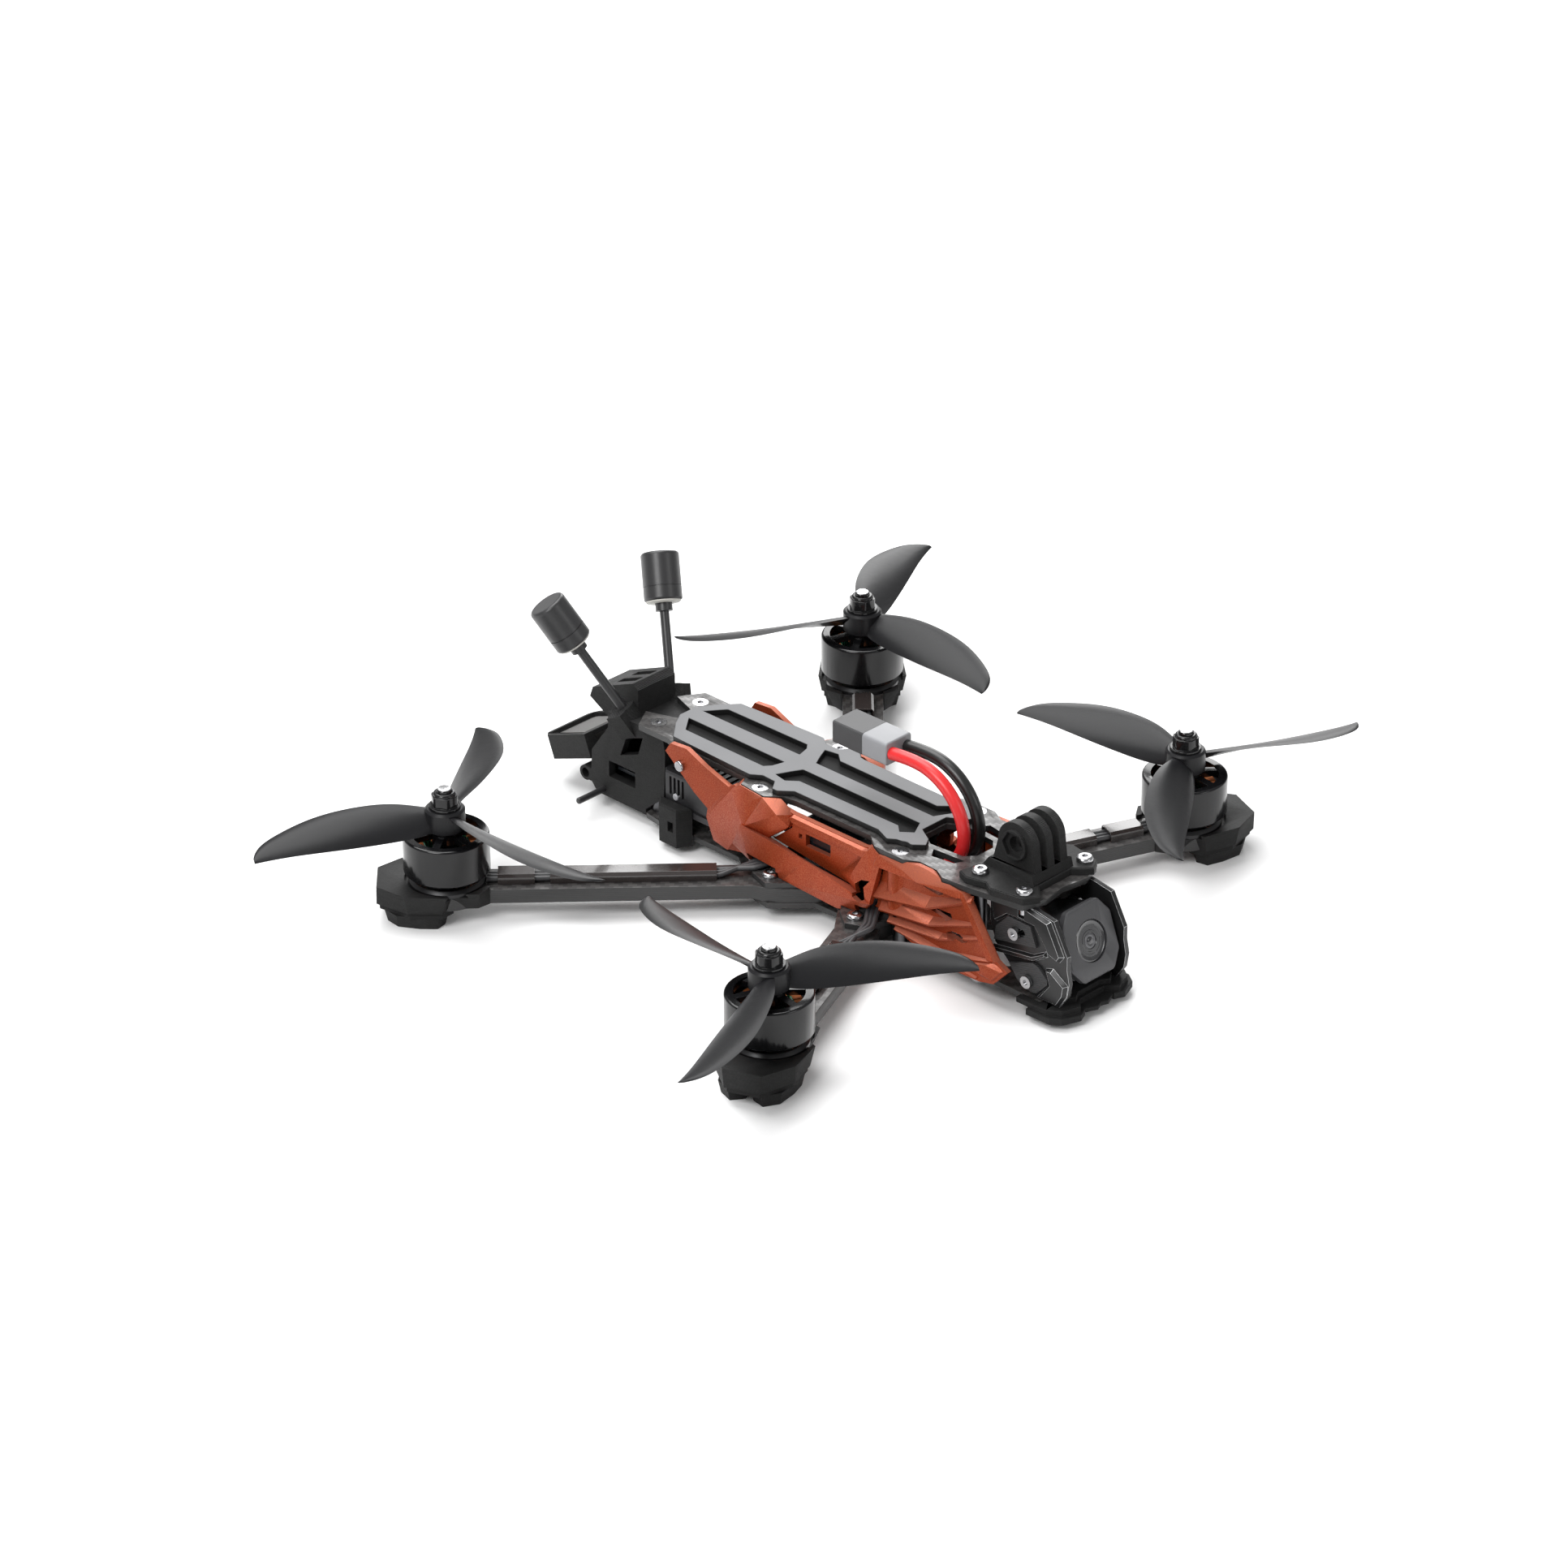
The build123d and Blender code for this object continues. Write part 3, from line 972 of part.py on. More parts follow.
def aerial_stem():
    stem = post(0, 0, -7.0, AERIAL_STEM_R, AERIAL_STEM + 7.0)
    neck = post(0, 0, AERIAL_STEM - 1.6, 2.9, 3.4)
    return along_aerial(stem + neck)


def aerial_cap():
    cap = post(0, 0, AERIAL_STEM + 1.8, AERIAL_CAP_R, AERIAL_CAP_H)
    cap = fillet(cap.edges().group_by(Axis.Z)[-1], 1.2)
    cap = fillet(cap.edges().group_by(Axis.Z)[0], 0.8)
    z = AERIAL_STEM + 1.8 + 4.6
    groove = post(0, 0, z, AERIAL_CAP_R + 1, 0.35) - post(0, 0, z - 1, AERIAL_CAP_R - 0.25, 3)
    return along_aerial(cap - groove)


def tail_mount():
    """The printed tail: side walls on the rear posts, a hump and two antenna clamps."""
    profile = [(58.6, Z_TOP), (57.6, 31), (58.4, 14), (67.2, Z_ARM + 0.1), (67.2, Z_BOTTOM), (90.4, Z_BOTTOM),
               (93.4, 8), (92.6, 20), (84.6, 31), (84.2, Z_TOP)]
    body = side_sheet(profile, -13.2, 26.4)
    cavity = [(64, 9), (88.6, 9), (88.6, 19), (81.4, 29.4), (64, 34)]
    body -= side_sheet(cavity, -10.2, 20.4)
    body -= brick(-8, 8, 50, 70, 10, 33)
    window = [(68, 33), (76, 30), (79, 22.6), (70.4, 26)]
    body -= side_sheet(window, -20, 40)
    body -= side_sheet([(72, 18.6), (84.5, 18.6), (84.5, 12.6), (72, 12.6)], -20, 12)
    hump = [(74.6, Z_TOP), (74.6, 46.6), (77, 48.4), (96.4, 40.2), (97.8, 36.4), (88, 31)]
    body += side_sheet(hump, -8.6, 17.2)
    for x in (-3.4, 3.4):
        body -= Pos(x, 84, 46) * Rot(-23, 0, 0) * Box(3.6, 10, 9)
    clamp = post(0, 0, -8.4, 4.4, 9.0)
    grip = brick(0, 5.6, -3.6, 3.6, -8.4, 0.6)
    for part_ in (clamp, grip):
        solid = along_aerial(part_)
        body += solid
        body += flip(solid)
    web = brick(4, 13.2, 74.6, 84.2, Z_TOP - 3, Z_TOP)
    body += web + flip(web)
    bore = along_aerial(post(0, 0, -7.0, AERIAL_STEM_R, 12))
    slit = along_aerial(brick(-0.3, 0.3, 0, 8, -9, 1))
    for cut in (bore, slit):
        body -= cut
        body -= flip(cut)
    body -= brick(-16, 16, 50, 73.2, Z_TOP, 60)
    for side in (1, -1):
        socket = bar_x(96.2, 9.6, side * 5, side * 13.0, 2.7)
        body += socket + brick(min(side * 5, side * 13), max(side * 5, side * 13), 90, 96.2, 7.4, 12.2)
        body -= bar_x(96.2, 9.6, side * 4, side * 14, 1.7)
        body -= bar_x(87.0, 6.9, side * 8, side * 14, 1.1)
    for x, y in both_sides(PLATE_POSTS[:1]):
        body -= post(x, y, 0, POST_R, 60)
    return body


def receiver_aerials():
    rods = []
    for side in (1, -1):
        rod = bar_x(87.0, 6.9, side * 8, side * 25.6, 1.1)
        rods.append(fillet(rod.edges().group_by(Axis.X)[-1 if side > 0 else 0], 0.6))
    return rods


def tray_frame(shape):
    """Put a piece drawn level, with its front top edge at zero, on the tail at the tray's tilt."""
    return Pos(0, 97.2, 23.4) * Rot(-TRAY_TILT, 0, 0) * shape


def gps_tray():
    w = TRAY_W / 2
    outline = [(w, 0), (w, TRAY_L - 3), (w - 3, TRAY_L), (-w + 3, TRAY_L), (-w, TRAY_L - 3), (-w, 0)]
    tray = sheet(outline, -TRAY_H, TRAY_H)
    tray -= brick(-w + 1.6, w - 1.6, 1.6, TRAY_L - 1.6, -TRAY_H + 1.6, 1)
    tray -= brick(-7.6, 7.6, -1, 2, -6.4, -1.6)
    lug = brick(-9, 9, -6.5, 3, -TRAY_H - 1.8, -TRAY_H)
    tray = tray_frame(tray + lug)
    return tray - side_sheet([(93.4, 0), (93.4, 8), (92.6, 20), (84.6, 31), (84.2, 60), (60, 60), (60, 0)],
                             -14, 28) - side_sheet([(74.6, 30), (74.6, 49), (77, 49), (96.4, 40.2), (97.8, 36.4),
                                                    (88, 31)], -9, 18)


def gps_module():
    w = TRAY_W / 2 - 1.8
    board_ = brick(-w, w, 1.9, TRAY_L - 1.9, -TRAY_H + 1.6, -TRAY_H + 3)
    patch = brick(-w + 1, w - 1, 2.6, TRAY_L - 3, -TRAY_H + 3, -1.1)
    patch = chamfer(patch.edges().filter_by(Axis.Z), 1.6)
    label = brick(-w + 2.4, w - 2.4, 5, TRAY_L - 5.4, -1.1, -0.7)
    return tray_frame(board_ + patch + label)


# ================================================================ fasteners
def standoffs():
    pieces = []
    for x, y in both_sides(PLATE_POSTS):
        z = Z_BAY if (abs(x), y) == PLATE_POSTS[1] else Z_ARM
        pieces.append(post(x, y, z, POST_R, Z_TOP - z) - post(x, y, Z_TOP - 7, M3_R, 8)
                      - post(x, y, z - 1, M3_R, 7))
    for x, y in both_sides(MOUNT_POSTS):
        pieces.append(post(x, y, Z_ARM, 2.3, Z_TOP - Z_ARM) - post(x, y, Z_TOP - 7, M3_R, 8)
                      - post(x, y, Z_ARM - 1, M3_R, 7))
    return pieces


def frame_screws():
    pieces = []
    for x, y in both_sides(PLATE_POSTS):
        pieces.append(flat_screw(x, y, Z_DECK, 7.5))
    for x, y in both_sides(PLATE_POSTS[:1] + PLATE_POSTS[2:] + MOUNT_POSTS):
        pieces.append(flip(Pos(0, 0, 2 * Z_BOTTOM) * mirror(button_screw(-x, y, Z_BOTTOM, 6.5), about=Plane.XY)))
    return pieces


def arm_screws():
    return [button_screw(x, y, Z_BAY, Z_BAY - Z_BOTTOM + 1.2) for x, y in both_sides(REAR_BOLTS + FRONT_BOLTS)]


def mount_screws():
    return [button_screw(x, y, Z_DECK + 2.6, 8.0 if y > -90 else 7.5) for x, y in both_sides(MOUNT_SCREWS)]


def motor_screws():
    pieces = []
    for fore_aft in (1, -1):
        for x, y in motor_screw_places():
            upright = button_screw(x, -y, -Z_ARM, ARM_T + 2.0)
            pieces.append(at_motor(mirror(upright, about=Plane.XY), fore_aft))
    return pieces


# ================================================================ write every node
def build():
    os.makedirs("parts", exist_ok=True)
    save("bottom_plate", bottom_plate())
    save("clamp_plate", clamp_plate())
    save("top_plate", top_plate())
    save("battery_pad", battery_pad())
    arms = {1: arm(1), -1: arm(-1)}
    guards = {1: arm_guard(1), -1: arm_guard(-1)}
    props = {1: propeller(1), -1: propeller(-1)}
    bell, nut = motor_bell(), prop_nut()
    base, coils = motor_base(), stator()
    bases, windings, guard_set = [], [], []
    for name, side, fore_aft, spin in corners():
        save("arm_" + name, arms[fore_aft] if side > 0 else flip(arms[fore_aft]))
        guard_set.append(guards[fore_aft] if side > 0 else flip(guards[fore_aft]))
        here = Pos(side * MOTOR_X, fore_aft * MOTOR_Y, 0)
        turn = REAR_BLADE_ANGLE if fore_aft > 0 else FRONT_BLADE_ANGLE
        if side > 0:
            turn = 180 - turn
        save("propeller_" + name, here * Rot(0, 0, turn) * props[spin])
        save("motor_bell_" + name, here * Rot(0, 0, turn) * bell)
        save("prop_nut_" + name, here * nut)
        out = arm_outward(fore_aft) if side > 0 else 180 - arm_outward(fore_aft)
        bases.append(here * Rot(0, 0, out) * base)
        windings.append(here * coils)
    save("arm_guards", *guard_set)
    save("motor_bases", *bases)
    save("stator_windings", *windings)
    screws = motor_screws()
    save("motor_screws", *screws, *[flip(s) for s in screws])
    leads = motor_leads(1) + motor_leads(-1)
    sleeves = lead_sleeves(1) + lead_sleeves(-1)
    save("motor_leads", *leads, *[flip(w) for w in leads])
    save("lead_sleeves", *sleeves, *[flip(s) for s in sleeves])
    save("standoffs", *standoffs())
    save("arm_screws", *arm_screws())
    save("mount_screws", *mount_screws())
    save("speed_controller", speed_controller())
    save("flight_controller", flight_controller())
    save("stack_screws", *stack_screws())
    save("stack_grommets", *stack_grommets())
    save("air_unit", air_unit())
    save("link_button", link_button())
    save("receiver", receiver())
    save("capacitor", capacitor())
    cover = side_cover()
    save("side_cover_left", cover)
    save("side_cover_right", flip(cover))
    tip_screw = cover_screw()
    save("frame_screws", *frame_screws(), tip_screw, flip(tip_screw))
    plate = cage_plate()
    save("cage_plate_left", plate)
    save("cage_plate_right", flip(plate))
    inlays = cage_inlays()
    save("cage_inlays", *inlays, *[flip(p) for p in inlays])
    save("camera_housing", camera_housing())
    save("camera_bezel", camera_bezel())
    save("camera_glass", camera_glass())
    save("camera_screws", *camera_screws())
    save("nose_bumper", nose_bumper())
    bumpers = rear_bumpers()
    save("rear_bumpers", *bumpers, *[flip(b) for b in bumpers])
    save("action_camera_mount", action_camera_mount())
    save("lead_red", lead(-LEAD_X))
    save("lead_black", lead(LEAD_X))
    save("connector_cover", connector_cover())
    save("power_connector", power_connector())
    stem, cap = aerial_stem(), aerial_cap()
    save("antenna_stems", stem, flip(stem))
    save("antenna_caps", cap, flip(cap))
    save("tail_mount", tail_mount())
    save("receiver_aerials", *receiver_aerials())
    save("gps_tray", gps_tray())
    save("gps_module", gps_module())


build()
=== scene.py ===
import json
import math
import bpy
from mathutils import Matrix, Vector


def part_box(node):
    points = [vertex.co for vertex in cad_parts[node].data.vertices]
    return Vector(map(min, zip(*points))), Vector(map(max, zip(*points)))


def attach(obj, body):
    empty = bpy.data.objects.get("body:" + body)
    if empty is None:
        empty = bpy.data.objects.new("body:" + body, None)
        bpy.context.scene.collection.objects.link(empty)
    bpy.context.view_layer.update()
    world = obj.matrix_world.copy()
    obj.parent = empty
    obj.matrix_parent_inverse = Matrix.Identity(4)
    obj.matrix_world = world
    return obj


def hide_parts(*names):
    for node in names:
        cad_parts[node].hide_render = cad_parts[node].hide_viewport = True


bl_info = {
    "name": "Freestyle Quadcopter",
    "version": (1, 0, 0),
    "blender": (4, 5, 0),
    "location": "View3D > Sidebar > Quadcopter",
    "description": "Dresses a freestyle quadcopter with its finishes, battery leads, windings and lens",
    "category": "Object",
}

import bmesh
import bpy
from bpy.props import FloatProperty, FloatVectorProperty, IntProperty, PointerProperty
from mathutils import Matrix, Vector

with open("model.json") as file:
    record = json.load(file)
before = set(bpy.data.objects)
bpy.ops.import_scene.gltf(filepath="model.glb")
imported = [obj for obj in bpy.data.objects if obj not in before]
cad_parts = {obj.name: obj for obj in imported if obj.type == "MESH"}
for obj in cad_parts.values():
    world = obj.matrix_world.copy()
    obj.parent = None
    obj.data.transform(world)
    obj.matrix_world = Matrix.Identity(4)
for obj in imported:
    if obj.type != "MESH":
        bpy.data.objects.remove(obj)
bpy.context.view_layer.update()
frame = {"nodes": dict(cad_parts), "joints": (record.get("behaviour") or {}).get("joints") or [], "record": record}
BODY_OF = {node: body for body, nodes in frame["record"]["behaviour"]["bodies"].items() for node in nodes}
CORNERS = ("front_left", "front_right", "rear_left", "rear_right")
MM = 0.001
BARE_ABOVE = 45.3        # height in millimetres above which shafts and nuts are bare metal
BELL_BLACK = (0.0035, 0.0035, 0.004)
REAR_ARM, FRONT_ARM = 44.3, -22.5        # headings of the left arms, in degrees

# The middle of the battery leads, from the speed controller to the connector, along Y and Z.
LEAD_ROUTE = [
    (-0.0399, 0.0218), (-0.0489, 0.0252), (-0.0575, 0.0306), (-0.0635, 0.0366), (-0.0649, 0.0450),
    (-0.0617, 0.0536), (-0.0545, 0.0604), (-0.0439, 0.0636), (-0.0330, 0.0621),
]


# ---------------------------------------------------------------- properties
class QuadSizes(bpy.types.PropertyGroup):
    """Sizes of the details that are drawn over the frame."""

    tow: FloatProperty(name="Carbon Tow", description="Width of one woven bundle of carbon",
                       default=1.5 * MM, unit="LENGTH")
    layer: FloatProperty(name="Printed Layer", description="Height of one layer of the printed parts",
                         default=0.32 * MM, unit="LENGTH")
    edge: FloatProperty(name="Edge Softness", description="Width of the rounding along machined edges",
                        default=0.22 * MM, unit="LENGTH")
    lead: FloatProperty(name="Battery Lead", description="Diameter of a battery lead",
                        default=4.3 * MM, unit="LENGTH")
    lead_gap: FloatProperty(name="Lead Spacing", description="Distance between the two battery leads",
                            default=7.0 * MM, unit="LENGTH")
    wire: FloatProperty(name="Winding Wire", description="Spacing of the wire on a stator tooth",
                        default=0.42 * MM, unit="LENGTH")
    teeth: IntProperty(name="Stator Teeth", description="Wound teeth in one motor", default=12, min=3)
    camera_lean: FloatProperty(name="Camera Lean", description="Angle of the nose camera above the horizon",
                               default=math.radians(20), subtype="ANGLE")


class QuadColours(bpy.types.PropertyGroup):
    """Base colours of the finishes."""

    cover: FloatVectorProperty(name="Side Covers", description="Metallic copper orange",
                               subtype="COLOR", default=(0.26, 0.028, 0.004))
    pad: FloatVectorProperty(name="Battery Pad", description="Top face of the silicone pad",
                             subtype="COLOR", default=(0.135, 0.137, 0.142))
    blade: FloatVectorProperty(name="Propellers", description="Satin grey plastic",
                               subtype="COLOR", default=(0.008, 0.008, 0.009))
    red: FloatVectorProperty(name="Positive Lead", description="Red silicone",
                             subtype="COLOR", default=(0.62, 0.018, 0.02))
    shell: FloatVectorProperty(name="Connector Cover", description="Light grey plastic",
                               subtype="COLOR", default=(0.30, 0.305, 0.32))
    copper: FloatVectorProperty(name="Windings", description="Enamelled copper",
                                subtype="COLOR", default=(0.60, 0.20, 0.07))


# ---------------------------------------------------------------- shader values
class Value:
    """A number or vector inside a material. Arithmetic on numbers adds Math nodes."""

    def __init__(self, finish, socket):
        self.finish = finish
        self.socket = socket

    def math(self, operation, *others):
        inputs = dict(enumerate((self, *others)))
        return self.finish.add("ShaderNodeMath", {"operation": operation}, inputs)

    def __add__(self, other):
        return self.math("ADD", other)

    def __sub__(self, other):
        return self.math("SUBTRACT", other)

    def __mul__(self, other):
        return self.math("MULTIPLY", other)

    def __truediv__(self, other):
        return self.math("DIVIDE", other)

    def __mod__(self, other):
        return self.math("FLOORED_MODULO", other)

    def __rsub__(self, other):
        return self.math("MULTIPLY", -1.0).math("ADD", other)

    __radd__ = __add__
    __rmul__ = __mul__

    def step(self, low, high):
        """A smooth ramp from 0 at low to 1 at high."""
        settings = {"interpolation_type": "SMOOTHSTEP"}
        inputs = {"Value": self, "From Min": low, "From Max": high}
        return self.finish.add("ShaderNodeMapRange", settings, inputs)

    def axis(self, letter):
        return self.finish.add("ShaderNodeSeparateXYZ", {}, {0: self}, "XYZ".index(letter))


class Finish:
    """A material: its Principled shader and the nodes that feed it. Distances are in millimetres."""

    def __init__(self, name, color, roughness, metallic=0.0, coat=0.0, specular=0.5):
        self.material = bpy.data.materials.new(name)
        self.material.use_nodes = True
        self.shader = self.material.node_tree.nodes["Principled BSDF"]
        self.color = (*color, 1.0)
        self.set("Base Color", self.color)
        self.set("Roughness", roughness)
        self.set("Metallic", metallic)
        self.set("Coat Weight", coat)
        self.shader.inputs["Coat Roughness"].default_value = 0.08
        self.shader.inputs["Specular IOR Level"].default_value = specular

    def add(self, kind, settings=None, inputs=None, output=0):
        node = self.material.node_tree.nodes.new(kind)
        for key, value in (settings or {}).items():
            if key == "stops":
                self.ramp(node.color_ramp, value)
            else:
                setattr(node, key, value)
        for key, value in (inputs or {}).items():
            self.plug(node.inputs[key], value)
        return Value(self, node.outputs[output])

    def ramp(self, ramp, stops):
        while len(ramp.elements) < len(stops):
            ramp.elements.new(0.5)
        for element, (place, color) in zip(ramp.elements, stops):
            element.position = place
            element.color = (*color, 1.0)

    def plug(self, socket, value):
        if isinstance(value, Value):
            self.material.node_tree.links.new(value.socket, socket)
        else:
            socket.default_value = value

    def set(self, name, value):
        self.plug(self.shader.inputs[name], value)

    def place(self, turn=0.0, stretch=(1, 1, 1), centre=(0, 0, 0)):
        """Object coordinates in millimetres, turned about Z."""
        here = self.add("ShaderNodeTexCoord", {}, {}, "Object")
        scale = tuple(s / MM for s in stretch)
        start = tuple(-c * s for c, s in zip(centre, scale))
        return self.add("ShaderNodeMapping", {}, {"Vector": here, "Location": start, "Scale": scale,
                                                  "Rotation": (0, 0, turn)})

    def noise(self, size, detail=2.0, place=None, rough=0.5):
        inputs = {"Vector": place or self.place(), "Scale": 1.0 / size, "Detail": detail, "Roughness": rough}
        return self.add("ShaderNodeTexNoise", {}, inputs)

    def upward(self):
        """The Z part of the surface's own direction, from -1 to 1."""
        return self.add("ShaderNodeNewGeometry", {}, {}, "Normal").axis("Z")

    def blend(self, factor, first, second):
        inputs = {0: factor, 6: self.tone(first), 7: self.tone(second)}
        return self.add("ShaderNodeMix", {"data_type": "RGBA"}, inputs, 2)

    def tone(self, color):
        return color if isinstance(color, Value) or len(color) == 4 else (*color, 1.0)

    def relief(self, height, depth, strength=1.0):
        """A bump, with its depth in millimetres."""
        inputs = {"Height": height, "Distance": depth * MM, "Strength": strength}
        self.set("Normal", self.add("ShaderNodeBump", {}, inputs))


def scaled(color, amount):
    return tuple(min(1.0, c * amount) for c in color)


# ---------------------------------------------------------------- finishes
def carbon(name, turn, sizes):
    """Two-by-two twill on the faces, and fine layers along the cut edges."""
    finish = Finish(name, (0.02, 0.02, 0.02), 0.4, coat=0.25)
    place = finish.place(turn)
    tow = sizes.tow / MM
    across = place.axis("X") / tow
    along = place.axis("Y") / tow
    column = across.math("FLOOR")
    row = along.math("FLOOR")
    warp = ((column + row) % 4.0).math("LESS_THAN", 1.5)
    over = (across - column) * 2.0 - 1.0
    under = (along - row) * 2.0 - 1.0
    crown = 1.0 - (warp * over * over + (1.0 - warp) * under * under)
    flat = finish.upward().math("ABSOLUTE").step(0.6, 0.8)
    strands = finish.noise(0.5, 2.0)
    woven = finish.blend(warp, (0.016, 0.015, 0.015), (0.050, 0.048, 0.047))
    woven = finish.blend(strands * 0.35, woven, (0.065, 0.06, 0.057))
    layers = (place.axis("Z") * (math.tau / 0.5)).math("SINE") * 0.5 + 0.5
    cut = finish.blend(layers * 0.6, (0.007, 0.007, 0.007), (0.022, 0.022, 0.022))
    finish.set("Base Color", finish.blend(flat, cut, woven))
    finish.set("Roughness", 0.52 - flat * (0.10 + warp * 0.10) + strands * 0.06)
    finish.relief(flat * crown + (1.0 - flat) * layers * 0.5, 0.05, 0.6)
    return finish


def printed(name, shade, layer):
    """Flexible printed plastic with its layers showing on the sides."""
    finish = Finish(name, (shade,) * 3, 0.5, specular=0.22)
    place = finish.place()
    wander = finish.noise(14.0, 1.0) * 0.5
    phase = (place.axis("Z") + wander) * (math.tau / (layer / MM))
    lines = phase.math("SINE") * 0.5 + 0.5
    speck = finish.noise(0.6, 3.0)
    patch = finish.noise(3.5, 2.0, finish.place(stretch=(1, 1, 6)))
    side = 1.0 - finish.upward().math("ABSOLUTE").step(0.75, 0.95)
    finish.set("Base Color", finish.blend(patch * 0.8, (shade * 0.5,) * 3, (shade * 1.5,) * 3))
    finish.set("Roughness", 0.46 + speck * 0.2)
    finish.relief(lines * side * (0.6 + patch) + speck * 0.35, 0.16, 0.9)
    return finish


def copper_paint(name, color, lift):
    """Metallic copper-orange paint over a sandy grain, with a painted sheen on faces turned upward."""
    finish = Finish(name, color, 0.4, metallic=0.5, coat=0.05, specular=0.3)
    fine = finish.noise(0.42, 2.0, rough=0.8)
    coarse = finish.noise(5.0, 3.0)
    flake = fine.step(0.35, 0.75)
    base = finish.blend(coarse, scaled(color, 0.80 * lift), scaled(color, 1.22 * lift))
    # Faces turned upward are blended about a quarter of the way toward a pale pink: a painted sheen standing in
    # for the overhead light.
    pale = (0.62, 0.32, 0.24)
    level = finish.upward().step(0.2, 0.8)
    lit = finish.blend(level * 0.24, base, pale)
    bright = (0.50 * lift, 0.13 * lift, 0.05 * lift)
    finish.set("Base Color", finish.blend(flake * 0.5, lit, bright))
    finish.set("Roughness", 0.50 - flake * 0.18)
    finish.relief(fine * 0.8 + coarse * 0.2, 0.07, 0.9)
    return finish


def silicone(name, top, side):
    """A matt rubbery face, grey on top, whose walls and underside are painted near-black as painted shade."""
    finish = Finish(name, top, 0.5, specular=0.4)
    grain = finish.noise(0.25, 2.0)
    cloud = finish.noise(22.0, 2.0)
    # Faces turned up take the top colour; walls and underside take the near-black side colour, which is painted
    # shade.
    level = finish.upward().step(0.55, 0.85)
    face = finish.blend(cloud, scaled(top, 0.88), scaled(top, 1.12))
    finish.set("Base Color", finish.blend(level, side, face))
    finish.set("Roughness", 0.46 + grain * 0.12)
    finish.relief(grain, 0.02, 0.5)
    return finish


def plain(name, color, roughness, metallic=0.0, coat=0.0, grain=0.35, depth=0.02, vary=0.1, specular=0.5):
    """Moulded or machined stuff with a faint grain and slightly uneven gloss."""
    finish = Finish(name, color, roughness, metallic, coat, specular)
    fine = finish.noise(grain, 3.0)
    broad = finish.noise(grain * 24, 2.0)
    finish.set("Base Color", finish.blend(broad, scaled(color, 1 - vary), scaled(color, 1 + vary)))
    finish.set("Roughness", roughness * 0.9 + fine * roughness * 0.2)
    finish.relief(fine, depth, 0.5)
    return finish


def turned(name, color, roughness, metallic, coat=0.0):
    """Metal with the fine rings that a lathe leaves, one above another."""
    finish = Finish(name, color, roughness, metallic, coat)
    rings = (finish.place().axis("Z") * (math.tau / 0.18)).math("SINE") * 0.5 + 0.5
    smear = finish.noise(2.0, 3.0, finish.place(stretch=(1, 1, 5)))
    finish.set("Base Color", finish.blend(smear, scaled(color, 0.85), scaled(color, 1.15)))
    finish.set("Roughness", roughness * 0.8 + smear * roughness * 0.4)
    finish.relief(rings, 0.006, 0.4)
    return finish


def nut_tip(name, color):
    """Black anodised metal that is bare and bright near the top of the shaft."""
    finish = Finish(name, color, 0.2, coat=0.12, specular=0.3)
    height = finish.place().axis("Z")
    bare = height.step(BARE_ABOVE - 0.05, BARE_ABOVE + 0.05)
    rings = (height * (math.tau / 0.5)).math("SINE") * 0.5 + 0.5
    smear = finish.noise(2.0, 3.0)
    dark = finish.blend(smear, scaled(color, 0.8), scaled(color, 1.3))
    finish.set("Base Color", finish.blend(bare, dark, (0.66, 0.66, 0.67)))
    finish.set("Metallic", bare)
    finish.set("Roughness", 0.16 + smear * 0.08)
    finish.relief(rings * bare, 0.05, 0.5)
    return finish


def ribbed(name, color, step_y, step_z):
    """Printed ribs that run at a slant."""
    finish = Finish(name, color, 0.5)
    place = finish.place()
    lines = ((place.axis("Y") * step_y + place.axis("Z") * step_z) * math.tau).math("SINE") * 0.5 + 0.5
    speck = finish.noise(0.5, 2.0)
    finish.set("Base Color", finish.blend(lines, scaled(color, 0.6), scaled(color, 1.5)))
    finish.set("Roughness", 0.42 + speck * 0.2)
    finish.relief(lines, 0.08, 0.7)
    return finish


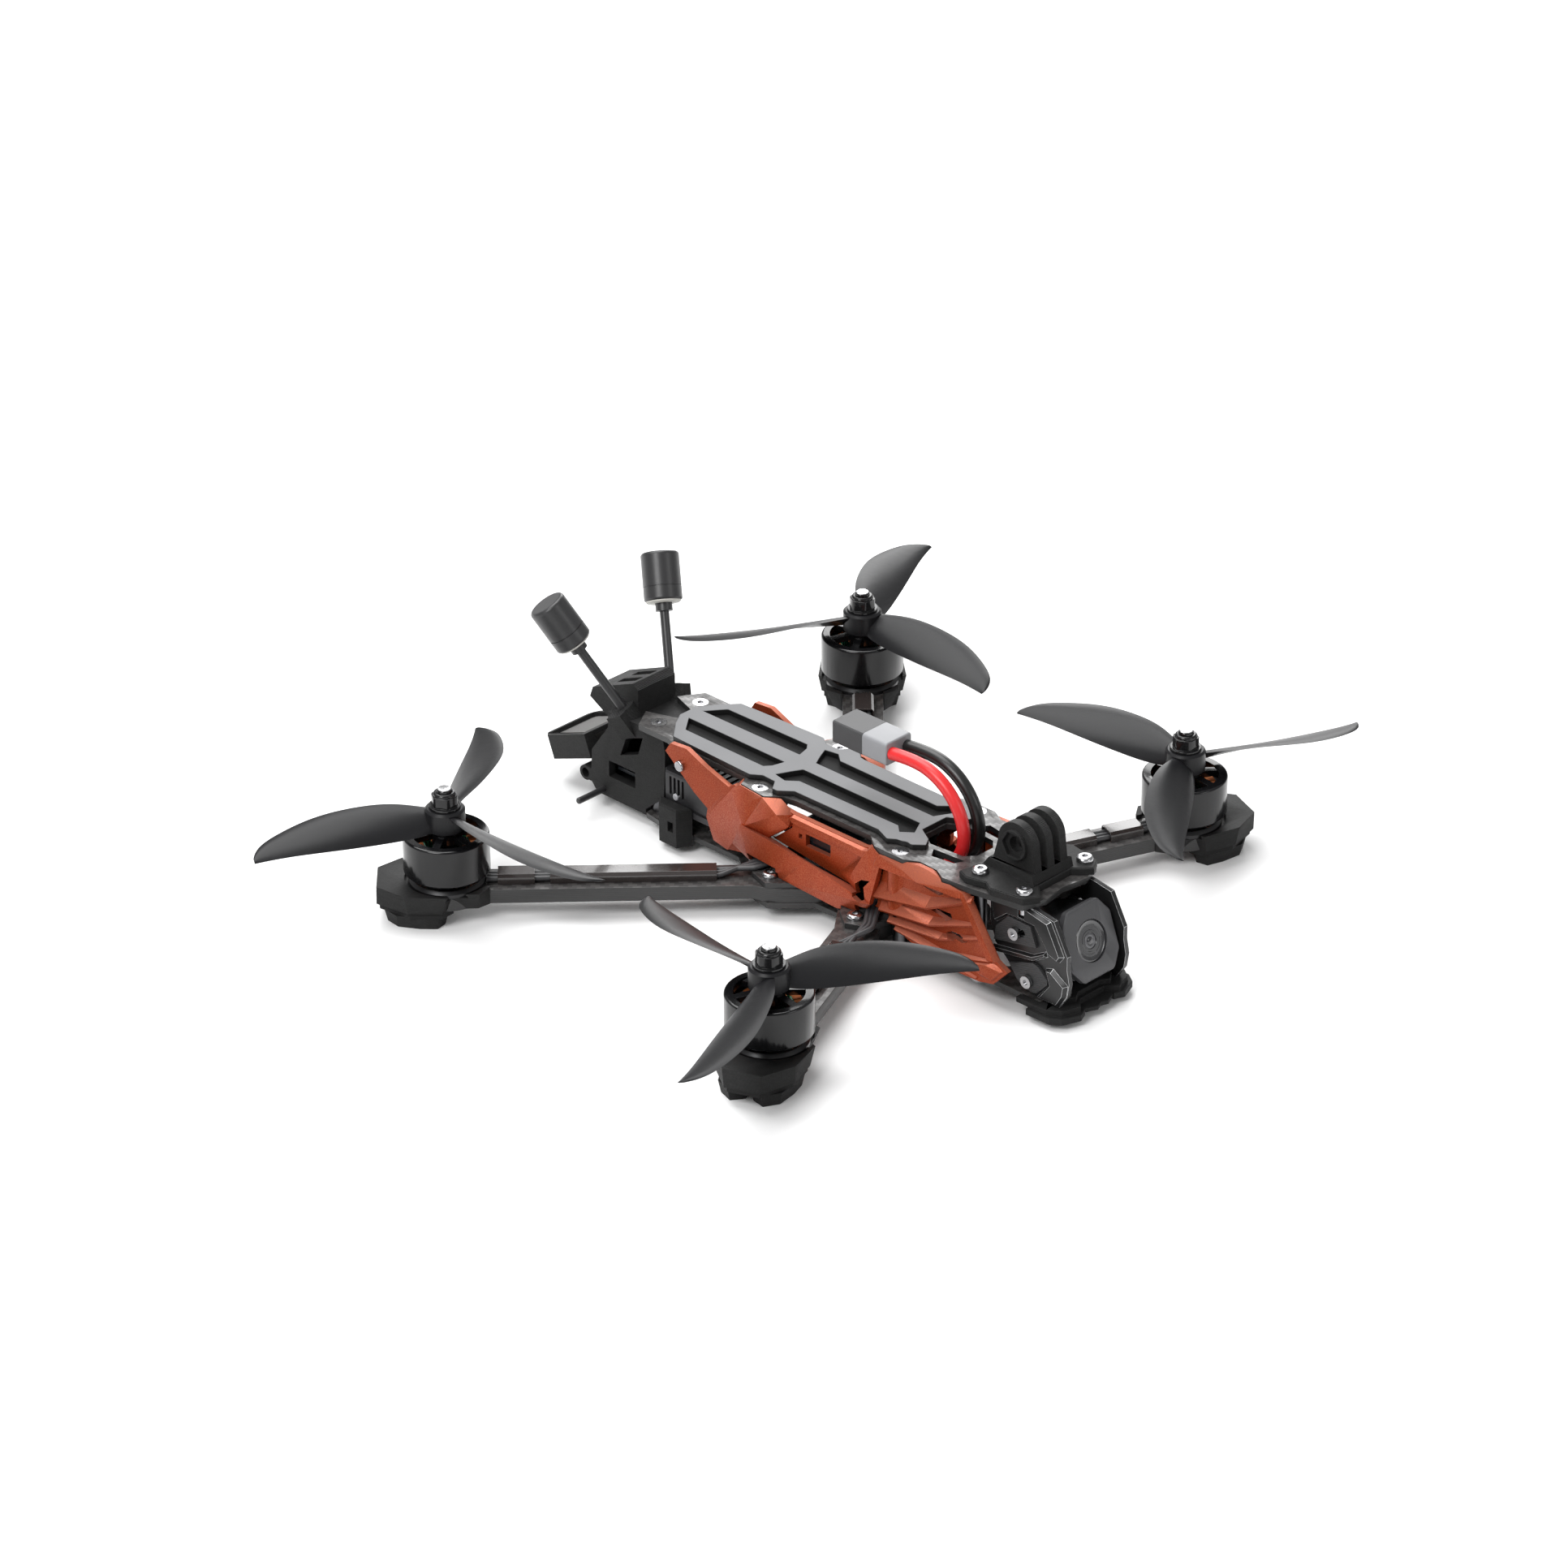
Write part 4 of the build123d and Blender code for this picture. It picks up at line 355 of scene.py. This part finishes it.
def make_finishes(sizes, colours):
    """Every finish of the aircraft, by name."""
    carbon("Carbon Plate", 0.0, sizes)
    for corner in CORNERS:
        pos = next(j["pos_m"] for j in frame["joints"] if j["child"] == "rotor_" + corner)
        heading = math.radians(REAR_ARM if "rear" in corner else FRONT_ARM)
        carbon("Carbon Arm " + corner, -heading if pos[0] > 0 else heading, sizes)
    printed("Printed Rubber", 0.013, sizes.layer)
    copper_paint("Copper Paint", colours.cover, 1.0)
    # The same paint half again as bright, laid on the covers' rounded edges: a painted highlight.
    copper_paint("Copper Paint Edge", colours.cover, 1.5)
    # The pad's walls are painted near-black: painted shade on the walls, darker than the lit top.
    silicone("Pad Silicone", colours.pad, (0.006, 0.006, 0.006))
    plain("Satin Blade", colours.blade, 0.36, grain=0.5, depth=0.008, vary=0.06, specular=0.22)
    plain("Motor Base", (0.018, 0.018, 0.019), 0.32, metallic=0.5)
    nut_tip("Nut Anodising", (0.006, 0.006, 0.0065))
    nut_tip("Bell and Shaft", BELL_BLACK)
    turned("Bright Steel", (0.40, 0.40, 0.41), 0.22, 1.0)
    turned("Post Metal", (0.10, 0.10, 0.105), 0.3, 1.0)
    plain("Armour Satin", (0.012, 0.012, 0.0125), 0.34, metallic=0.2, grain=0.3)
    plain("Polished Edge", (0.72, 0.73, 0.74), 0.34, metallic=0.6, depth=0.004, vary=0.04)
    ribbed("Inlay Ribs", (0.024, 0.024, 0.025), 0.55, 1.9)
    plain("Board Mask", (0.008, 0.011, 0.014), 0.34, coat=0.3, grain=0.8)
    plain("Air Unit Case", (0.026, 0.026, 0.028), 0.42, metallic=0.3)
    plain("Button Plastic", (0.4, 0.4, 0.42), 0.45)
    plain("Capacitor Sleeve", (0.015, 0.015, 0.017), 0.3, coat=0.3)
    plain("Connector Black", (0.040, 0.040, 0.042), 0.46, grain=0.25)
    plain("Connector Grey", scaled(colours.shell, 0.8), 0.42, grain=0.25, vary=0.05)
    plain("Red Silicone", colours.red, 0.34, grain=0.6, depth=0.01, vary=0.08)
    plain("Black Silicone", (0.008, 0.008, 0.008), 0.34, grain=0.6, depth=0.01)
    plain("Grey Silicone", (0.030, 0.030, 0.032), 0.42, grain=0.5)
    plain("Shrink Sleeve", (0.024, 0.019, 0.018), 0.16, coat=0.6, grain=1.6, depth=0.03)
    plain("Antenna Satin", (0.021, 0.021, 0.022), 0.36, grain=0.4)
    plain("Pale Ring", (0.55, 0.54, 0.50), 0.5)
    plain("Patch Ceramic", (0.05, 0.048, 0.045), 0.4)
    plain("Camera Black", (0.013, 0.013, 0.014), 0.38)
    plain("Bezel Satin", (0.050, 0.050, 0.053), 0.36, metallic=0.3)
    plain("Lens Black", (0.012, 0.012, 0.014), 0.16, coat=0.8)
    plain("Lens Ring", (0.10, 0.10, 0.105), 0.3, metallic=0.5)
    plain("Winding Copper", colours.copper, 0.3, metallic=0.7, grain=0.4)
    plain("Tooth Insulation", (0.015, 0.16, 0.07), 0.4)
    plain("Lamination", (0.11, 0.11, 0.115), 0.35, metallic=0.8)
    plain("Soft Rubber", (0.004, 0.004, 0.004), 0.6, specular=0.15)
    floor = plain("Pale Floor", (0.93, 0.93, 0.93), 0.75, grain=6.0, depth=0.01, vary=0.01)
    floor.shader.inputs["Specular IOR Level"].default_value = 0.1


# How each carried-over node is finished: its finish, the finish of its softened edges, and how
# much wider or narrower than usual those edges are.
SOFTENED = {
    "bottom_plate": ("Carbon Plate", None, 0.8),
    "clamp_plate": ("Carbon Plate", None, 0.8),
    "top_plate": ("Carbon Plate", None, 0.8),
    "battery_pad": ("Pad Silicone", None, 1.6),
    "arm_guards": ("Printed Rubber", None, 1.4),
    "nose_bumper": ("Printed Rubber", None, 1.4),
    "rear_bumpers": ("Printed Rubber", None, 1.4),
    "tail_mount": ("Printed Rubber", None, 1.4),
    "action_camera_mount": ("Printed Rubber", None, 1.2),
    # The covers' rounded edges take the brighter copy of the paint, which is a painted highlight along the edges.
    "side_cover_left": ("Copper Paint", "Copper Paint Edge", 1.3),
    "side_cover_right": ("Copper Paint", "Copper Paint Edge", 1.3),
    "cage_plate_left": ("Armour Satin", "Polished Edge", 2.4),
    "cage_plate_right": ("Armour Satin", "Polished Edge", 2.4),
    "cage_inlays": ("Inlay Ribs", None, 0.8),
    "air_unit": ("Air Unit Case", None, 0.8),
    "connector_cover": ("Connector Grey", None, 1.0),
    "power_connector": ("Connector Black", None, 1.0),
    "gps_tray": ("Printed Rubber", None, 1.2),
    "gps_module": ("Patch Ceramic", None, 1.0),
    "camera_housing": ("Camera Black", None, 1.0),
    "camera_bezel": ("Bezel Satin", None, 1.0),
    "lead_sleeves": ("Shrink Sleeve", None, 1.6),
    "motor_bases": ("Motor Base", None, 0.8),
    "speed_controller": ("Board Mask", None, 0.5),
    "flight_controller": ("Board Mask", None, 0.5),
    "receiver": ("Board Mask", None, 0.5),
}
KEPT = {
    "standoffs": "Post Metal", "frame_screws": "Bright Steel", "arm_screws": "Bright Steel",
    "mount_screws": "Bright Steel", "motor_screws": "Bright Steel", "camera_screws": "Bright Steel",
    "stack_screws": "Bright Steel", "stack_grommets": "Soft Rubber", "link_button": "Button Plastic",
    "capacitor": "Capacitor Sleeve", "antenna_stems": "Antenna Satin", "antenna_caps": "Antenna Satin",
    "receiver_aerials": "Antenna Satin", "motor_leads": "Grey Silicone", "camera_glass": "Lens Black",
}


# ---------------------------------------------------------------- pieces
def add_piece(name, bm, finishes, body, stands_for=(), smooth=35.0):
    """Turns a bmesh into a piece that rides on a body."""
    mesh = bpy.data.meshes.new(name)
    bm.to_mesh(mesh)
    bm.free()
    for finish in finishes:
        mesh.materials.append(bpy.data.materials[finish])
    mesh.polygons.foreach_set("use_smooth", [True] * len(mesh.polygons))
    mesh.set_sharp_from_angle(angle=math.radians(smooth))
    piece = bpy.data.objects.new(name, mesh)
    bpy.context.scene.collection.objects.link(piece)
    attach(piece, body)
    if stands_for:
        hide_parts(*stands_for)
    return piece


def soften(node, width, finish, edge_finish):
    """A copy of a carried-over node with rounded edges."""
    bm = bmesh.new()
    bm.from_mesh(frame["nodes"][node].data)
    bmesh.ops.remove_doubles(bm, verts=bm.verts, dist=0.002 * MM)
    bmesh.ops.dissolve_limit(bm, angle_limit=math.radians(0.8), verts=bm.verts, edges=bm.edges)
    finishes = [finish, edge_finish] if edge_finish else [finish]
    for face in bm.faces:
        face.material_index = 0
    piece = add_piece(node + "_finished", bm, finishes, BODY_OF[node], (node,))
    bevel = piece.modifiers.new("Soft Edges", "BEVEL")
    bevel.limit_method = "ANGLE"
    bevel.angle_limit = math.radians(28)
    bevel.width = width
    bevel.segments = 2
    bevel.use_clamp_overlap = True
    bevel.harden_normals = True
    bevel.material = 1 if edge_finish else -1
    return piece


def spun(profile, steps):
    """A closed round form from its half section, as radius and height, about the Z axis."""
    bm = bmesh.new()
    verts = [bm.verts.new((radius, 0, height)) for radius, height in profile]
    edges = [bm.edges.new(pair) for pair in zip(verts, verts[1:])]
    bmesh.ops.spin(bm, geom=verts + edges, axis=(0, 0, 1), cent=(0, 0, 0), angle=math.tau, steps=steps,
                   use_merge=True)
    bmesh.ops.remove_doubles(bm, verts=bm.verts, dist=0.002 * MM)
    bmesh.ops.recalc_face_normals(bm, faces=bm.faces)
    return bm


def rotor_axis(corner):
    joint = next(j for j in frame["joints"] if j["child"] == "rotor_" + corner)
    return Vector(joint["pos_m"])


# ---------------------------------------------------------------- operators
class QUAD_OT_finishes(bpy.types.Operator):
    """Makes every finish of the aircraft"""

    bl_idname = "quad.finishes"
    bl_label = "Finishes"

    def execute(self, context):
        make_finishes(context.scene.quad_sizes, context.scene.quad_colours)
        return {"FINISHED"}


class QUAD_OT_camera(bpy.types.Operator):
    """Places the camera ahead of and above the aircraft's right side"""

    bl_idname = "quad.camera"
    bl_label = "Camera"

    ANGLES = (-45.507, 28.501, -0.381)        # azimuth, elevation and roll in degrees
    PLACE = (-1.19833, -1.15857, 0.94240)
    SENSOR, LENS = 36, 134.28                 # in millimetres

    def execute(self, context):
        azimuth, elevation, roll = (math.radians(a) for a in self.ANGLES)
        back = Vector((math.sin(azimuth) * math.cos(elevation), -math.cos(azimuth) * math.cos(elevation),
                       math.sin(elevation)))
        right = Vector((math.cos(azimuth), math.sin(azimuth), 0))
        turn = Matrix.Rotation(roll, 3, back)
        right = turn @ right
        up = back.cross(right)
        data = bpy.data.cameras.new("Camera")
        data.sensor_width = self.SENSOR
        data.lens = self.LENS
        data.clip_start, data.clip_end = 0.05, 50
        camera = bpy.data.objects.new("Camera", data)
        context.scene.collection.objects.link(camera)
        axes = Matrix((right, up, back)).transposed().to_4x4()
        camera.matrix_world = Matrix.Translation(self.PLACE) @ axes
        context.scene.camera = camera
        return {"FINISHED"}


class QUAD_OT_leads(bpy.types.Operator):
    """Lays the two battery leads from the speed controller up to the connector"""

    bl_idname = "quad.leads"
    bl_label = "Battery Leads"

    def execute(self, context):
        sizes = context.scene.quad_sizes
        for node, side, finish in (("lead_red", -0.5, "Red Silicone"), ("lead_black", 0.5, "Black Silicone")):
            curve = bpy.data.curves.new(node + "_silicone", "CURVE")
            curve.dimensions = "3D"
            curve.bevel_depth = sizes.lead / 2
            curve.bevel_resolution = 6
            curve.use_fill_caps = True
            spline = curve.splines.new("NURBS")
            spline.points.add(len(LEAD_ROUTE) - 1)
            x = side * sizes.lead_gap
            for point, (y, z) in zip(spline.points, LEAD_ROUTE):
                point.co = (x, y, z, 1)
            spline.order_u = 3
            spline.use_endpoint_u = True
            spline.resolution_u = 12
            curve.materials.append(bpy.data.materials[finish])
            lead = bpy.data.objects.new(node + "_silicone", curve)
            context.scene.collection.objects.link(lead)
            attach(lead, BODY_OF[node])
            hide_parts(node)
        return {"FINISHED"}


class QUAD_OT_shells(bpy.types.Operator):
    """Gives the plates, covers and printed parts their finishes and rounded edges"""

    bl_idname = "quad.shells"
    bl_label = "Plates and Covers"

    def execute(self, context):
        edge = context.scene.quad_sizes.edge
        for node, (finish, edge_finish, amount) in SOFTENED.items():
            soften(node, edge * amount, finish, edge_finish)
        for corner in CORNERS:
            soften("arm_" + corner, edge, "Carbon Arm " + corner, None)
            soften("motor_bell_" + corner, edge * 0.8, "Bell and Shaft", None)
            soften("prop_nut_" + corner, edge * 0.8, "Nut Anodising", None)
        for node, finish in KEPT.items():
            self.repaint(node, finish)
        for corner in CORNERS:
            self.repaint("propeller_" + corner, "Satin Blade")
        return {"FINISHED"}

    def repaint(self, node, finish):
        mesh = frame["nodes"][node].data
        mesh.materials.clear()
        mesh.materials.append(bpy.data.materials[finish])


class QUAD_OT_windings(bpy.types.Operator):
    """Winds the copper teeth inside each motor"""

    bl_idname = "quad.windings"
    bl_label = "Stator Windings"

    def execute(self, context):
        sizes = context.scene.quad_sizes
        low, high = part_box("stator_windings")
        height = high.z - low.z
        bm = bmesh.new()
        for corner in CORNERS:
            axis = rotor_axis(corner)
            middle = Vector((axis.x, axis.y, (low.z + high.z) / 2))
            for tooth in range(sizes.teeth):
                turn = Matrix.Rotation(math.tau * tooth / sizes.teeth, 4, "Z")
                here = Matrix.Translation(middle) @ turn
                self.block(bm, here, 8.9 * MM, (4.2 * MM, 3.0 * MM, height), 0.9 * MM, 0)
                self.block(bm, here, 7.1 * MM, (0.7 * MM, 3.2 * MM, height * 0.94), 0.15 * MM, 1)
                self.block(bm, here, 11.6 * MM, (1.1 * MM, 5.2 * MM, height * 0.78), 0.2 * MM, 2)
                self.wires(bm, here, height, sizes.wire)
        finishes = ["Winding Copper", "Tooth Insulation", "Lamination"]
        add_piece("stator_windings_wound", bm, finishes, BODY_OF["stator_windings"], ("stator_windings",))
        return {"FINISHED"}

    def block(self, bm, here, radius, size, soft, finish):
        made = bmesh.ops.create_cube(bm, size=1, matrix=here @ Matrix.Translation((radius, 0, 0))
                                     @ Matrix.Diagonal((*size, 1)))
        verts = made["verts"]
        edges = list({e for v in verts for e in v.link_edges})
        made = bmesh.ops.bevel(bm, geom=edges, offset=soft, affect="EDGES", segments=1, profile=0.5,
                               material=-1)
        for face in {f for v in made["verts"] for f in v.link_faces}:
            face.material_index = finish

    def wires(self, bm, here, height, wire):
        """Turns of wire over the end of a coil."""
        turns = 7
        for turn in range(turns):
            radius = 7.3 * MM + wire * (turn + 0.5)
            for end in (1, -1):
                place = here @ Matrix.Translation((radius, 0, end * height * 0.5))
                place = place @ Matrix.Rotation(math.pi / 2, 4, "X")
                made = bmesh.ops.create_cone(bm, cap_ends=True, segments=6, radius1=wire * 0.5,
                                             radius2=wire * 0.5, depth=2.4 * MM, matrix=place)
                for face in {f for v in made["verts"] for f in v.link_faces}:
                    face.material_index = 0


class QUAD_OT_lens(bpy.types.Operator):
    """Builds the rings and the front element of the nose camera's lens"""

    bl_idname = "quad.lens"
    bl_label = "Lens"

    def execute(self, context):
        low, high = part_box("camera_glass")
        middle = (low + high) / 2
        lean = context.scene.quad_sizes.camera_lean
        forward = Vector((0, -math.cos(lean), math.sin(lean)))
        up = Vector((0, math.sin(lean), math.cos(lean)))
        axes = Matrix((Vector((1, 0, 0)), up, forward)).transposed().to_4x4()
        here = Matrix.Translation(middle) @ axes
        rings = [(0, -0.3), (6.7, -0.3), (6.7, 0.28), (6.3, 0.38), (6.0, 0.2), (5.2, 0.2), (5.1, 0.08),
                 (4.4, 0.08), (4.3, -0.04), (3.5, -0.04), (3.35, 0.1), (2.7, 0.1), (2.6, -0.1), (0, -0.1)]
        self.turn("lens_rings", [(r * MM, z * MM) for r, z in rings], here, "Lens Black")
        inner = [(1.3, -0.05), (1.6, 0.12), (2.1, 0.12), (2.35, -0.05), (1.3, -0.05)]
        self.turn("lens_inner_ring", [(r * MM, z * MM) for r, z in inner], here, "Lens Ring")
        dome = [(1.25 * MM * math.sin(a), 0.3 * MM * math.cos(a)) for a in (0, 0.3, 0.6, 0.9, 1.2, 1.5)]
        self.turn("lens_element", dome + [(0, 0)], here, "Lens Black")
        return {"FINISHED"}

    def turn(self, name, profile, here, finish):
        bm = spun(profile, 64)
        bmesh.ops.transform(bm, matrix=here, verts=bm.verts)
        stands_for = ("camera_glass",) if name == "lens_rings" else ()
        add_piece(name, bm, [finish], BODY_OF["camera_glass"], stands_for)


class QUAD_OT_trim(bpy.types.Operator):
    """Lays near-black sheets in the pad's grooves as painted shade, and the pale rings under the antenna caps"""

    bl_idname = "quad.trim"
    bl_label = "Grooves and Rings"

    GROOVES = (
        ((3.4, 59.1), (9.8, 54.1), (10.2, 18.1), (8.0, 16.3), (3.6, 15.1)),
        ((3.1, 6.9), (7.2, 9.1), (11.5, 11.1), (12.4, 6.1), (9.4, 2.4), (8.9, -41.1), (11.7, -44.2),
         (8.8, -47.9), (3.2, -44.9)),
    )
    FLOOR = 0.2      # thickness of the painted-shade sheet in a groove, in millimetres
    FOOT = (11.0, 82.3, 39.2)
    AIM = (0.3373, 0.4414, 0.8316)

    def execute(self, context):
        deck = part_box("battery_pad")[0].z
        bm = bmesh.new()
        # Each groove gets a near-black sheet on the pad's underside: painted shade standing in for the dark depth
        # of the groove.
        for outline in self.GROOVES:
            for side in (1, -1):
                verts = [bm.verts.new((side * x * MM, y * MM, deck)) for x, y in outline]
                face = bm.faces.new(verts)
                made = bmesh.ops.extrude_face_region(bm, geom=[face])
                top = [v for v in made["geom"] if isinstance(v, bmesh.types.BMVert)]
                bmesh.ops.translate(bm, vec=(0, 0, self.FLOOR * MM), verts=top)
        bmesh.ops.recalc_face_normals(bm, faces=bm.faces)
        add_piece("pad_groove_painted_shade", bm, ["Soft Rubber"], BODY_OF["battery_pad"])
        ring = [(1.7, 28.1), (5.3, 28.1), (5.9, 28.5), (5.9, 29.3), (1.7, 29.3), (1.7, 28.1)]
        for side, name in ((1, "left"), (-1, "right")):
            foot = Vector((side * self.FOOT[0], *self.FOOT[1:])) * MM
            aim = Vector((side * self.AIM[0], *self.AIM[1:])).normalized()
            bm = spun([(r * MM, z * MM) for r, z in ring], 48)
            here = Matrix.Translation(foot) @ aim.to_track_quat("Z", "Y").to_matrix().to_4x4()
            bmesh.ops.transform(bm, matrix=here, verts=bm.verts)
            add_piece("antenna_ring_" + name, bm, ["Pale Ring"], BODY_OF["antenna_caps"])
        return {"FINISHED"}


class QUAD_OT_stage(bpy.types.Operator):
    """Lays a pale floor and hangs soft studio lights"""

    bl_idname = "quad.stage"
    bl_label = "Stage"

    LIGHTS = {
        "Key": ((-1.4, -0.2, 1.4), 0.8, 22.0),
        "Overhead": ((0.1, 0.7, 1.6), 1.5, 38.0),
        "Rim": ((1.3, 0.9, 0.7), 0.8, 10.0),
        "Front": ((0.3, -1.6, 0.8), 0.6, 4.0),
    }

    FLOOR = 6.0       # half the floor's width
    GLOW = 0.44       # strength of the surrounding white

    def execute(self, context):
        bm = bmesh.new()
        bmesh.ops.create_grid(bm, x_segments=2, y_segments=2, size=self.FLOOR)
        mesh = bpy.data.meshes.new("floor")
        bm.to_mesh(mesh)
        bm.free()
        mesh.materials.append(bpy.data.materials["Pale Floor"])
        floor = bpy.data.objects.new("floor", mesh)
        context.scene.collection.objects.link(floor)
        for name, (place, size, power) in self.LIGHTS.items():
            data = bpy.data.lights.new(name, "AREA")
            data.shape = "SQUARE"
            data.size = size
            data.energy = power
            light = bpy.data.objects.new(name, data)
            light.location = place
            light.rotation_euler = (-Vector(place)).to_track_quat("-Z", "Y").to_euler()
            context.scene.collection.objects.link(light)
        world = bpy.data.worlds.new("Studio")
        world.use_nodes = True
        world.node_tree.nodes["Background"].inputs["Color"].default_value = (1, 1, 1, 1)
        world.node_tree.nodes["Background"].inputs["Strength"].default_value = self.GLOW
        context.scene.world = world
        context.scene.view_settings.view_transform = "Standard"
        return {"FINISHED"}


class QUAD_PT_panel(bpy.types.Panel):
    """Lists the steps that dress the quadcopter"""

    bl_label = "Quadcopter"
    bl_space_type = "VIEW_3D"
    bl_region_type = "UI"
    bl_category = "Quadcopter"

    def draw(self, context):
        for group in (context.scene.quad_sizes, context.scene.quad_colours):
            for name in group.__annotations__:
                self.layout.prop(group, name)
        for step in STEPS:
            self.layout.operator(step.bl_idname)


STEPS = (QUAD_OT_finishes, QUAD_OT_camera, QUAD_OT_shells, QUAD_OT_leads, QUAD_OT_windings, QUAD_OT_lens,
         QUAD_OT_trim, QUAD_OT_stage)
CLASSES = (QuadSizes, QuadColours, *STEPS, QUAD_PT_panel)


def register():
    for cls in CLASSES:
        bpy.utils.register_class(cls)
    bpy.types.Scene.quad_sizes = PointerProperty(type=QuadSizes)
    bpy.types.Scene.quad_colours = PointerProperty(type=QuadColours)


def unregister():
    del bpy.types.Scene.quad_colours
    del bpy.types.Scene.quad_sizes
    for cls in reversed(CLASSES):
        bpy.utils.unregister_class(cls)


def main():
    register()
    for step in STEPS:
        group, name = step.bl_idname.split(".")
        getattr(getattr(bpy.ops, group), name)()


if __name__ == "__main__":
    main()
